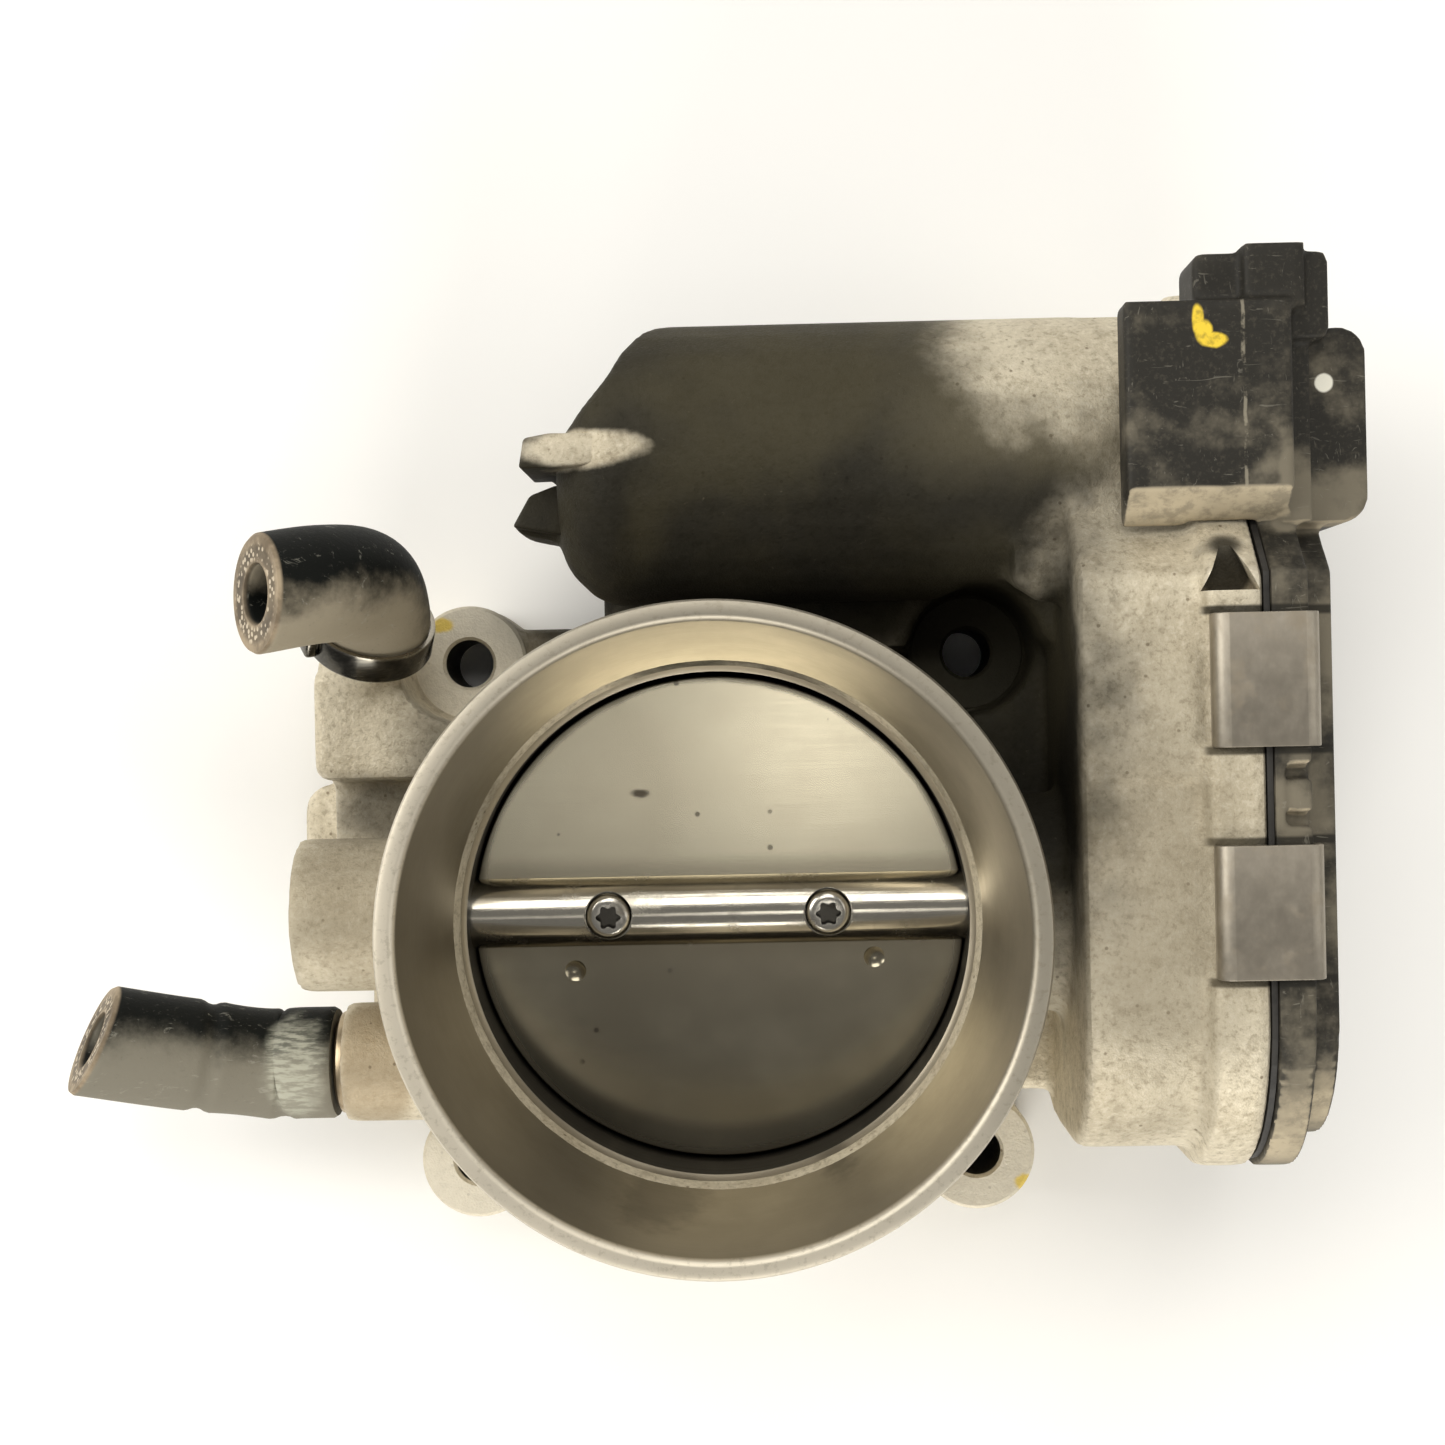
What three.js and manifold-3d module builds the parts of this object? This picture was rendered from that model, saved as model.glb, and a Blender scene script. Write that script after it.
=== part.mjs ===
// Electronic throttle body for a petrol engine, 68 mm bore.
// Frame: origin on the bore axis in the manifold flange face, +Z up the bore towards the inlet,
// +X towards the gear case and its cover, +Y towards the drive motor. Millimetres.

import * as THREE from 'three';
import { mergeVertices } from 'three/addons/utils/BufferGeometryUtils.js';
import Module from 'manifold-3d';

const wasm = await Module();
wasm.setup();

// ---------------------------------------------------------------- driving dimensions

const GAP = 0.3;                 // clearance between pieces that fit round or against each other
const RUN = 0.1;                 // radial running clearance of shafts and pins
const CUT = 1;                   // how far a cutting tool runs past the face that it opens
const BORE_SIDES = 44;           // sides of every surface turned about the bore

// Bore and inlet neck
const BORE_R = 34;
const BORE_TOP = 44;             // height where the straight bore ends
const RIM_Z = 70;
const RIM_R = 42.5;
const RIM_WALL = 2.8;
const BARREL_WALL = 5;
const LIP = 1;                   // machined step at the top of the straight bore

// Manifold flange
const EAR = 36.5;                // half the bolt square
const EAR_R = 8.5;
const EAR_TOP = 16;
const BOLT_R = 3.5;
const FLANGE_T = 13;
const FLANGE_HALF = EAR + 5;
const GROOVE_R = 38.2;           // middle radius of the flange seal groove
const GROOVE_W = 3;
const GROOVE_DEPTH = 2;

// Throttle shaft and plate
const SHAFT_Y = 1.5;
const SHAFT_Z = 36.5;
const SHAFT_R = 5;
const PLATE_T = 2.2;
const PLATE_GAP = 0.35;          // clearance between the closed plate and the bore
const CLOSED_TILT = 3;           // degrees, plate against its stop
const REST_TILT = 8;             // degrees, held ajar with the power off
const PLATE_SCREW_X = 15;
const SCREW_HEAD_R = 3.1;
const SCREW_HEAD_T = 1.7;

// Bearings and seals
const BOSS_END = -57.8;
const NEEDLE_R = SHAFT_R + 2;
const BOSS_R = NEEDLE_R + 3.6;
const NEEDLE_LEN = 10;
const RACE_T = 1.6;
const BALL_R = SHAFT_R + 2 * RACE_T + 1.3;
const BALL_W = 6;
const CAGE_GAP = 0.15;           // between the ball cage and either race
const CAGE_INSET = 0.6;          // how much narrower than the races the cage is, each side
const SEAL_W = 2.2;

// Gear train, module 1
const WHEEL_TEETH = 50;
const PINION_TEETH = 11;
const MODULE = 1;
const WHEEL_ADDENDUM = 0.7;
const PINION_ADDENDUM = 0.85;
const DEDENDUM = 1.15;
const BACKLASH = 0.3;
const SECTOR_W = 7;
const SECTOR_FIRST = -13;        // first and last tooth of the sector, counted from the mesh point
const SECTOR_LAST = 3;
const WHEEL_W = 5;
const IDLER_PIN_R = 2.5;

// Gear case and its flange
const FLOOR_X = EAR + EAR_R + 1.8;             // the case stands clear of the bolt seats
const FLOOR_T = 3.2;
const CASE_FLANGE_X = FLOOR_X + 15.4;
const CASE_FACE_X = FLOOR_X + 22.7;
const CASE_BOTTOM = -30.6;
const CASE_HALF = 28.6;          // half height round the gears
const CASE_WALL = 2.3;
const CASE_LEDGE = 2.7;          // how far the flange stands out of the case
const CASE_CORNER = 20;
const GASKET_T = 0.8;

// Cover and connector
const COVER_RIM_T = 4.6;
const COVER_DOME_T = 3.8;
const COVER_WALL = 2;
const DOME_INSET = 4.2;
const BLOCK_X = [FLOOR_X + 6.2, FLOOR_X + 27.2];   // connector front block over the casting
const BLOCK_Z = [59.8, 66.5];
const BLOCK_SLOPE = 4.6;         // run of the block's sloping lower face
const BULGE_X = [FLOOR_X + 26.2, FLOOR_X + 38];
const BULGE_Z = [32, 59];
const SHROUD_X = [FLOOR_X + 15.4, FLOOR_X + 32.4];
const SHROUD_Z = [52.5, 63.6];
const SHROUD_WALL = 1.7;
const SOCKET_DEPTH = 9.6;
const KEY_W = 7.6;               // rail on the shroud for the plug's latch
const KEY_T = 1.6;
const KEY_OVER = 0.9;            // how far the rail stands past the shroud's mouth
const KEY_OFFSET = 1.4;          // rail's offset from the shroud's middle
const PINS = 6;
const PIN_PITCH = 2.2;
const PIN_SIZE = 0.7;
const PIN_REACH = 6.4;           // pin length in the socket

// Spring clips
const CLIP_L = 16.8;
const CLIP_T = 1;
const CLIP_HOOK = 2.3;
const CLIP_X = CASE_FLANGE_X + 0.7;   // outer face of the hook behind the flange
const CLIP_Y = [31, 2];

// Motor
const MOTOR_R = 16;
const MOTOR_WALL = 1.5;
const CAN_SIDES = 20;
const MOTOR_FROM = FLOOR_X - 52.8;
const HOUSING_WALL = 2.9;
const MOTOR_SHAFT_R = 1.6;
const MAGNET_T = 2.3;
const ARMATURE_R = MOTOR_R - MOTOR_WALL - MAGNET_T - 0.6;
const NOSE_END = MOTOR_FROM - 14.3;
const MOTOR_SCREW_REACH = MOTOR_R + 4.8;
const MOTOR_SCREW_ANGLE = 40;    // degrees either side of the line towards the idler
const MOTOR_SCREW_R = 1.9;

// Coolant passage
const HOSE_R = 8;
const HOSE_BORE_R = 3.8;
const NIPPLE_R = 3.2;
const NIPPLE_BORE_R = 2.2;
const NIPPLE_LEN = 10;           // how far the straight lower nipple reaches into its hose
const NIPPLE_SHORT = 5;          // the same where the hose bends at once
const BAND_T = 0.7;
const BAND_W = 4.2;
const PORT_R = 8.6;
const LOWER_PORT = new THREE.Vector3(-54.5, -21, 21.5);
const UPPER_HOSE = [
  [-49.4, 39.2, 27.6], [-48, 43.4, 31.2], [-48.6, 46.9, 37], [-53, 46.9, 44.6], [-60.3, 45.4, 50.9],
];
const LOWER_HOSE = [[-56, -21, 21.5], [-66, -21, 21.5], [-78, -18.7, 25.8], [-89.3, -16, 30.6]];
const UPPER_CUT = new THREE.Vector3(-0.82, 0.02, 0.57);
const LOWER_CUT = new THREE.Vector3(-0.83, 0.42, 0.37);

// ---------------------------------------------------------------- sizes that follow

const BARREL_R = BORE_R + BARREL_WALL;
const WHEEL_R = MODULE * WHEEL_TEETH / 2;
const PINION_R = MODULE * PINION_TEETH / 2;
const STAGE = WHEEL_R + PINION_R;
const IDLER_Y = SHAFT_Y + STAGE;
const MOTOR_Y = IDLER_Y + STAGE;
const TAPER_FROM = IDLER_Y + WHEEL_R / 2;          // the case narrows past the idler's widest part
const TAPER_TO = IDLER_Y + 0.84 * WHEEL_R;
const HOUSING_R = MOTOR_R + GAP + HOUSING_WALL;
const MOTOR_TOP = MOTOR_Y + HOUSING_R;
const BLOCK_Y = [MOTOR_TOP - 26.5, MOTOR_TOP - 3];
const BULGE_Y = [MOTOR_TOP - 30.7, MOTOR_TOP - 5.7];
const SHROUD_Y = [MOTOR_TOP - 7.7, MOTOR_TOP + 3.3];
const FLOOR_IN = FLOOR_X + FLOOR_T;
const COVER_X = CASE_FACE_X + GASKET_T + 0.1;
const COVER_STEP_X = COVER_X + COVER_RIM_T;
const COVER_END_X = COVER_STEP_X + COVER_DOME_T;
const SECTOR_X = CASE_FACE_X - 3.3 - SECTOR_W;
const WHEEL_X = SECTOR_X + SECTOR_W + 1.3;
const WHEEL_END = WHEEL_X + WHEEL_W;
const BALL_X = FLOOR_IN - GAP - BALL_W;
const SEAL_RIGHT_X = BALL_X - GAP - SEAL_W;
const SEAL_LEFT_X = -BARREL_R - 0.4 - SEAL_W;
const NEEDLE_X = SEAL_LEFT_X - GAP - NEEDLE_LEN;
const SHAFT_LEFT = NEEDLE_X - 1;
const SHAFT_RIGHT = SECTOR_X + SECTOR_W + 0.8;
const MOTOR_END = FLOOR_X - 1;

const RAD = Math.PI / 180;
const Z_AXIS = new THREE.Vector3(0, 0, 1);

// ---------------------------------------------------------------- shape helpers

// Turns shape space (x, y, extrusion) into the row's (Y, Z, X).
const TO_X = new THREE.Matrix4().makeBasis(
  new THREE.Vector3(0, 1, 0), new THREE.Vector3(0, 0, 1), new THREE.Vector3(1, 0, 0));

function solid(geometry) {
  const bare = geometry.clone();
  for (const name of Object.keys(bare.attributes)) {
    if (name !== 'position') bare.deleteAttribute(name);
  }
  const merged = mergeVertices(bare, 1e-4);
  const vertProperties = new Float32Array(merged.attributes.position.array);
  const triVerts = new Uint32Array(merged.index.array);
  return new wasm.Manifold(new wasm.Mesh({ numProp: 3, vertProperties, triVerts }));
}

function geometryOf(body) {
  const mesh = body.getMesh();
  const geometry = new THREE.BufferGeometry();
  const corners = new Float32Array(mesh.triVerts.length * 3);
  mesh.triVerts.forEach((vertex, i) => {
    for (let k = 0; k < 3; k += 1) corners[3 * i + k] = mesh.vertProperties[vertex * mesh.numProp + k];
  });
  geometry.setAttribute('position', new THREE.BufferAttribute(corners, 3));
  geometry.computeVertexNormals();
  return geometry;
}

const join = (first, ...others) => others.reduce((sum, body) => sum.add(body), first);
const cut = (first, ...tools) => tools.reduce((rest, tool) => rest.subtract(tool), first);

function box(x, y, z) {
  const geometry = new THREE.BoxGeometry(x[1] - x[0], y[1] - y[0], z[1] - z[0]);
  geometry.translate((x[0] + x[1]) / 2, (y[0] + y[1]) / 2, (z[0] + z[1]) / 2);
  return solid(geometry);
}

// Prism of a closed outline along X; the outline is drawn in (Y, Z).
function alongX(shape, from, to, curveSegments = 8) {
  const geometry = new THREE.ExtrudeGeometry(shape, { depth: to - from, bevelEnabled: false, curveSegments });
  return solid(geometry.translate(0, 0, from).applyMatrix4(TO_X));
}

function alongZ(shape, from, to, curveSegments = 8) {
  const geometry = new THREE.ExtrudeGeometry(shape, { depth: to - from, bevelEnabled: false, curveSegments });
  return solid(geometry.translate(0, 0, from));
}

// Prism along Y of an outline drawn in (Z, X).
function alongY(shape, from, to, curveSegments = 8) {
  const geometry = new THREE.ExtrudeGeometry(shape, { depth: to - from, bevelEnabled: false, curveSegments });
  const turn = new THREE.Matrix4().makeBasis(
    new THREE.Vector3(0, 0, 1), new THREE.Vector3(1, 0, 0), new THREE.Vector3(0, 1, 0));
  return solid(geometry.translate(0, 0, from).applyMatrix4(turn));
}

// Turned body from a closed profile of [radius, height] pairs, about +Z.
function turned(profile, segments = 28) {
  const points = profile.map(([r, h]) => new THREE.Vector2(r, h));
  const geometry = new THREE.LatheGeometry(points, segments, Math.PI / segments);
  const body = solid(geometry.rotateX(Math.PI / 2));
  return body.volume() < 0 ? solid(flipped(geometry)) : body;
}

function flipped(geometry) {
  const index = geometry.index.array;
  for (let i = 0; i < index.length; i += 3) [index[i], index[i + 1]] = [index[i + 1], index[i]];
  return geometry;
}

function rod(r, from, to, segments = 20) {
  return turned([[0, from], [r, from], [r, to], [0, to]], segments);
}

function ring(inner, outer, from, to, segments = 24) {
  return turned([[inner, from], [outer, from], [outer, to], [inner, to], [inner, from]], segments);
}

// Moves a body made about +Z so that its axis lies along +X through (y, z).
function onX(body, y, z) {
  const m = TO_X.clone().setPosition(0, y, z);
  return body.transform(m.elements);
}

const rodX = (r, from, to, y, z, segments) => onX(rod(r, from, to, segments), y, z);
const ringX = (inner, outer, from, to, y, z, segments) => onX(ring(inner, outer, from, to, segments), y, z);

// Moves a body made about +Z so that its axis starts at a point and runs along a direction.
function aimed(body, at, direction) {
  const turn = new THREE.Quaternion().setFromUnitVectors(Z_AXIS, direction.clone().normalize());
  const m = new THREE.Matrix4().compose(at, turn, new THREE.Vector3(1, 1, 1));
  return body.transform(m.elements);
}

const vectors = (points) => points.map((p) => new THREE.Vector3(...p));

function polygon(points) {
  return new THREE.Shape(points.map(([a, b]) => new THREE.Vector2(a, b)));
}

function roundedBox(x, y, z, r) {
  const shape = new THREE.Shape();
  shape.moveTo(x[0] + r, y[0]);
  shape.lineTo(x[1] - r, y[0]);
  shape.absarc(x[1] - r, y[0] + r, r, -Math.PI / 2, 0);
  shape.lineTo(x[1], y[1] - r);
  shape.absarc(x[1] - r, y[1] - r, r, 0, Math.PI / 2);
  shape.lineTo(x[0] + r, y[1]);
  shape.absarc(x[0] + r, y[1] - r, r, Math.PI / 2, Math.PI);
  shape.lineTo(x[0], y[0] + r);
  shape.absarc(x[0] + r, y[0] + r, r, Math.PI, 1.5 * Math.PI);
  return alongZ(shape, z[0], z[1], 4);
}

// ---------------------------------------------------------------- outlines

// Gear case outline in (Y, Z), moved out by an offset: a tall lobe round the gears, narrowing to
// an end that is round about the motor's axis.
function caseOutline(offset) {
  const half = CASE_HALF + offset;
  const end = HOUSING_R + offset;
  const low = CASE_BOTTOM - offset;
  const corner = CASE_CORNER + offset;
  const shape = new THREE.Shape();
  shape.moveTo(low + corner, SHAFT_Z - half);
  shape.lineTo(TAPER_FROM, SHAFT_Z - half);
  shape.lineTo(TAPER_TO, SHAFT_Z - end);
  shape.lineTo(MOTOR_Y, SHAFT_Z - end);
  shape.absarc(MOTOR_Y, SHAFT_Z, end, -Math.PI / 2, Math.PI / 2);
  shape.lineTo(TAPER_TO, SHAFT_Z + end);
  shape.lineTo(TAPER_FROM, SHAFT_Z + half);
  shape.lineTo(low + corner, SHAFT_Z + half);
  shape.absarc(low + corner, SHAFT_Z + half - corner, corner, Math.PI / 2, Math.PI);
  shape.lineTo(low, SHAFT_Z - half + corner);
  shape.absarc(low + corner, SHAFT_Z - half + corner, corner, Math.PI, 1.5 * Math.PI);
  return shape;
}

const casePrism = (offset, from, to) => alongX(caseOutline(offset), from, to, 5);

// Half the angle of an involute tooth at radius r.
function toothHalfAngle(teeth, r) {
  const pitch = MODULE * teeth / 2;
  const base = pitch * Math.cos(20 * RAD);
  const involute = (angle) => Math.tan(angle) - angle;
  const atRadius = r > base ? involute(Math.acos(base / r)) : 0;
  return Math.PI / (2 * teeth) - BACKLASH / (4 * pitch) + involute(20 * RAD) - atRadius;
}

// Gear outline about the origin; teeth run from first to last, tooth 0 points along the first axis.
function gearPoints(teeth, addendum, first, last) {
  const pitch = MODULE * teeth / 2;
  const root = pitch - DEDENDUM * MODULE;
  const tip = pitch + addendum * MODULE;
  const radii = teeth > 30 ? [root, tip] : [root, pitch, tip];
  const points = [];
  for (let tooth = first; tooth <= last; tooth += 1) {
    const middle = tooth * 2 * Math.PI / teeth;
    const flank = radii.map((r) => [r, toothHalfAngle(teeth, r)]);
    for (const [r, half] of flank) points.push([r, middle - half]);
    for (const [r, half] of flank.reverse()) points.push([r, middle + half]);
  }
  return points.map(([r, angle]) => [r * Math.cos(angle), r * Math.sin(angle)]);
}

function gearX(teeth, addendum, from, to, y, z) {
  const outline = polygon(gearPoints(teeth, addendum, 0, teeth - 1));
  return alongX(outline, from, to).translate([0, y, z]);
}

// ---------------------------------------------------------------- housing

function barrel(bottom, top, edge) {
  return turned([
    [0, bottom], [BARREL_R, bottom], [BARREL_R, BORE_TOP], [RIM_R, BORE_TOP + 8], [RIM_R, top - edge],
    [RIM_R - edge, top], [0, top],
  ], BORE_SIDES);
}

function boreTool() {
  const inlet = RIM_R - RIM_WALL;
  return turned([
    [0, -CUT], [BORE_R, -CUT], [BORE_R, BORE_TOP], [BORE_R + LIP, BORE_TOP + LIP], [inlet, RIM_Z - 0.8],
    [inlet + 0.8 + CUT, RIM_Z + CUT], [0, RIM_Z + CUT],
  ], BORE_SIDES);
}

function earPlaces() {
  return [[1, 1], [-1, 1], [-1, -1], [1, -1]].map(([sx, sy]) => [sx * EAR, sy * EAR]);
}

function flangePlate() {
  let plate = roundedBox([-FLANGE_HALF, FLANGE_HALF], [-FLANGE_HALF, FLANGE_HALF], [0, FLANGE_T], EAR_R);
  for (const [x, y] of earPlaces()) plate = plate.add(rod(EAR_R, 0, EAR_TOP, 20).translate([x, y, 0]));
  return plate;
}

// Round housing whose nose is drawn in at its upper corner, clear of its neighbours in the car.
function motorHousing() {
  const r = HOUSING_R;
  const round = onX(turned([
    [0, NOSE_END], [r - 6.6, NOSE_END], [r - 4.2, NOSE_END + 1.3], [r - 1.2, NOSE_END + 4.3],
    [r, NOSE_END + 7.3], [r, FLOOR_IN], [0, FLOOR_IN],
  ], 28), MOTOR_Y, SHAFT_Z);
  const top = MOTOR_Y + r + CUT;
  const low = MOTOR_Y - r - CUT;
  const outline = polygon([
    [FLOOR_IN, low], [FLOOR_IN, top], [-4, top], [-8.4, MOTOR_Y + 17.8], [-11.2, MOTOR_Y + 14.2],
    [-13.2, MOTOR_Y + 10.2], [-16.8, MOTOR_Y + 5.8], [NOSE_END, MOTOR_Y + 1.4], [NOSE_END - CUT, MOTOR_Y],
    [NOSE_END - CUT, low],
  ]);
  return round.intersect(alongZ(outline, SHAFT_Z - r - CUT, SHAFT_Z + r + CUT));
}

function gearCase() {
  const body = casePrism(0, FLOOR_X, CASE_FACE_X - 1);
  const flange = casePrism(CASE_LEDGE, CASE_FLANGE_X, CASE_FACE_X);
  const pad = box([FLOOR_X + 1, CASE_FLANGE_X], [19, 35], [SHAFT_Z, SHAFT_Z + CASE_HALF + 0.9]);
  return join(body, flange, pad);
}

// Ribs and webs that carry the gear case, the boss and the motor housing on the bore and flange.
function webs() {
  return join(
    box([BORE_R + 2, FLOOR_X + 1], [-26, 42], [SHAFT_Z - CASE_HALF, 27]),
    rodX(15, BORE_R + 1.5, FLOOR_X + 1, SHAFT_Y, SHAFT_Z, 22),
    box([-50, -BORE_R - 2], [SHAFT_Y - 6, SHAFT_Y + 6], [3, SHAFT_Z]),
    box([-16, FLOOR_X + 1], [MOTOR_Y - HOUSING_R - 6, MOTOR_Y - 12], [3, SHAFT_Z - 12]),
    box([BORE_R, FLOOR_X + 1], [MOTOR_Y - HOUSING_R - 6, MOTOR_Y - 6], [SHAFT_Z - 20, SHAFT_Z + 4]),
  );
}

function coolantGallery() {
  const inner = -BORE_R + 4;
  const upper = roundedBox([-57.2, inner], [19.8, 36.2], [4, 29.2], 2.2);
  const middle = roundedBox([-55.6, inner], [9, 22], [4, 23], 2.2);
  const foot = roundedBox([-62, inner], [5, 19], [4, 13], 4);
  const duct = roundedBox([-52, inner], [-26, 22], [4, 15], 4);
  const [start, next] = vectors(UPPER_HOSE);
  const seat = aimed(rod(HOSE_R - 1.4, -9, -0.8, 20), start, next.sub(start));
  const port = rodX(PORT_R, LOWER_PORT.x, inner, LOWER_PORT.y, LOWER_PORT.z, 24);
  return join(upper, middle, foot, duct, port, seat);
}

// Clip for the wiring harness on the motor's nose.
function harnessLug() {
  const outline = polygon([
    [-6, 66.4], [-23.6, 66], [-23.6, 62], [-20.6, 60.6], [-27.4, 54.2], [-25, 53], [-20.2, 52.2], [-6, 52.2],
  ]);
  const pocket = box([-22.4, -9], [54.4, 62.2], [35.5, 60]);
  return cut(alongZ(outline, 28, 42), pocket);
}

function motorScrewPlaces() {
  return [1, -1].map((side) => {
    const angle = (180 - side * MOTOR_SCREW_ANGLE) * RAD;
    return [MOTOR_Y + MOTOR_SCREW_REACH * Math.cos(angle), SHAFT_Z + MOTOR_SCREW_REACH * Math.sin(angle)];
  });
}

function caseCavity() {
  const hollow = casePrism(-CASE_WALL, FLOOR_IN, CASE_FACE_X + CUT);
  const idlerBoss = rodX(5.4, FLOOR_IN - CUT, SECTOR_X - 1.6, IDLER_Y, SHAFT_Z);
  const bearingBoss = rodX(BALL_R + 2.4, FLOOR_IN - CUT, FLOOR_IN + 1, SHAFT_Y, SHAFT_Z, 22);
  return cut(hollow, idlerBoss, bearingBoss);
}

function motorPocket() {
  const wide = rodX(MOTOR_R + GAP, MOTOR_FROM - 1.2, FLOOR_IN + CUT, MOTOR_Y, SHAFT_Z, 24);
  const nose = rodX(6, MOTOR_FROM - 7, MOTOR_FROM, MOTOR_Y, SHAFT_Z, 14);
  return join(wide, nose);
}

function shaftPassage() {
  const bearing = rodX(BALL_R + RUN, BALL_X - 0.2, FLOOR_IN + 1 + CUT, SHAFT_Y, SHAFT_Z, 22);
  const seal = rodX(BALL_R - 1 + RUN, SEAL_RIGHT_X - 0.2, BALL_X, SHAFT_Y, SHAFT_Z, 22);
  const needle = rodX(NEEDLE_R + RUN, BOSS_END - CUT, SEAL_LEFT_X + SEAL_W + 0.2, SHAFT_Y, SHAFT_Z, 22);
  return join(rodX(SHAFT_R + GAP, BOSS_END, FLOOR_IN, SHAFT_Y, SHAFT_Z, 22), bearing, seal, needle);
}

function coolantDrillings() {
  const [start, next] = vectors(UPPER_HOSE);
  const upperHole = aimed(rod(NIPPLE_R + RUN, -11, 6, 20), start, next.sub(start));
  const lowerHole = rodX(
    NIPPLE_R + RUN, LOWER_PORT.x - CUT, LOWER_PORT.x + 9, LOWER_PORT.y, LOWER_PORT.z, 20,
  );
  return join(upperHole, lowerHole);
}

// Notches in the case flange where a clip's hook drops in behind it.
function clipNotches() {
  const notches = [];
  const edge = CASE_HALF + 0.15;
  for (const y of CLIP_Y) {
    for (const side of [1, -1]) {
      const z = [SHAFT_Z + side * edge, SHAFT_Z + side * (edge + 6)].sort((a, b) => a - b);
      notches.push(box([CASE_FLANGE_X - CUT, CLIP_X + CLIP_T + GAP],
        [y - CLIP_L / 2 - GAP, y + CLIP_L / 2 + GAP], z));
    }
  }
  return notches;
}

function throttleHousing() {
  const boss = rodX(BOSS_R, BOSS_END, -BORE_R - 1, SHAFT_Y, SHAFT_Z, 36);
  let body = join(barrel(0, RIM_Z, 0.6), flangePlate(), motorHousing(), gearCase(), webs(), coolantGallery(),
    harnessLug(), boss);
  for (const [y, z] of motorScrewPlaces()) body = body.add(rodX(4.6, FLOOR_X - 7, FLOOR_IN, y, z));
  const groove = ring(GROOVE_R - GROOVE_W / 2, GROOVE_R + GROOVE_W / 2, -CUT, GROOVE_DEPTH, 32);
  const bolts = earPlaces().map(([x, y]) => rod(BOLT_R, -CUT, RIM_Z, 14).translate([x, y, 0]));
  const screws = motorScrewPlaces().map(
    ([y, z]) => rodX(MOTOR_SCREW_R + RUN, FLOOR_X - 6, FLOOR_IN + CUT, y, z, 16),
  );
  const idlerHole = rodX(IDLER_PIN_R + RUN, FLOOR_X + 1.4, FLOOR_IN + 12, IDLER_Y, SHAFT_Z, 20);
  body = cut(body, boreTool(), groove, ...bolts, caseCavity(), motorPocket(), shaftPassage(),
    coolantDrillings(), idlerHole, ...screws, ...clipNotches());
  const around = barrel(-CUT, RIM_Z + CUT, 0);
  const spotfaces = earPlaces().map(([x, y]) => rod(EAR_R + GAP, EAR_TOP, RIM_Z - 14, 16).translate([x, y, 0]));
  return cut(body, ...spotfaces.map((tool) => cut(tool, around)));
}

// ---------------------------------------------------------------- cover, gasket and connector

function coverShell() {
  const rim = casePrism(CASE_LEDGE, COVER_X, COVER_STEP_X);
  const dome = casePrism(CASE_LEDGE - DOME_INSET, COVER_STEP_X - CUT, COVER_END_X);
  const face = COVER_END_X;
  const raised = join(
    rodX(13, face - CUT, face + 1.4, SHAFT_Y, SHAFT_Z, 22),
    rodX(15, face - CUT, face + 0.8, MOTOR_Y - 2, SHAFT_Z - 3, 32),
    rodX(4.5, face - CUT, face + 1.2, IDLER_Y, SHAFT_Z),
  );
  return join(rim, dome, raised);
}

function coverHollow() {
  const wide = casePrism(-CASE_WALL, COVER_X - CUT, COVER_STEP_X - 0.4);
  const deep = casePrism(CASE_LEDGE - DOME_INSET - COVER_WALL - 1, COVER_X - CUT, COVER_END_X - COVER_WALL);
  const pinBoss = ringX(IDLER_PIN_R + RUN, 4.4, WHEEL_END + 1, COVER_END_X, IDLER_Y, SHAFT_Z);
  return cut(join(wide, deep), pinBoss);
}

function connectorBody() {
  const block = alongX(polygon([
    [BLOCK_Y[0], BLOCK_Z[1]], [BLOCK_Y[0] - BLOCK_SLOPE, BLOCK_Z[0]], [BLOCK_Y[1], BLOCK_Z[0]],
    [BLOCK_Y[1], BLOCK_Z[1]],
  ]), BLOCK_X[0], BLOCK_X[1]);
  const bulge = join(
    roundedBox([BULGE_X[0], BULGE_X[1]], BULGE_Y, BULGE_Z, 3.4),
    box([BULGE_X[0], BLOCK_X[1] + 3], [BULGE_Y[0], BLOCK_Y[1]], [BULGE_Z[0] + 6, BLOCK_Z[0] + 2]),
  );
  const shroud = roundedBox(SHROUD_X, SHROUD_Y, SHROUD_Z, 1.2);
  const middle = (SHROUD_X[0] + SHROUD_X[1]) / 2 + KEY_OFFSET;
  const key = box([middle - KEY_W / 2, middle + KEY_W / 2],
    [BLOCK_Y[1] - CUT, SHROUD_Y[1] + KEY_OVER], [SHROUD_Z[1] - CUT, SHROUD_Z[1] + KEY_T]);
  return join(block, bulge, shroud, key);
}

function socketBox() {
  const inset = (span) => [span[0] + SHROUD_WALL, span[1] - SHROUD_WALL];
  return [inset(SHROUD_X), [SHROUD_Y[1] - SOCKET_DEPTH, SHROUD_Y[1] + CUT + 1], inset(SHROUD_Z)];
}

// Ribs, hooks and slots moulded along the cover's edge between the clips.
function coverEdgeCuts() {
  const top = SHAFT_Z + CASE_HALF + CASE_LEDGE;
  const middle = (CLIP_Y[0] + CLIP_Y[1]) / 2;
  const x = [COVER_X + 1.2, COVER_STEP_X + CUT];
  return [
    box(x, [middle - 3.9, middle - 2.1], [top - 2.2, top + CUT]),
    box(x, [middle + 2.1, middle + 3.9], [top - 2.2, top + CUT]),
    box([x[0], x[0] + 1.4], [middle - 3.9, middle + 3.9], [top - 2.2, top + CUT]),
  ];
}

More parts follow.
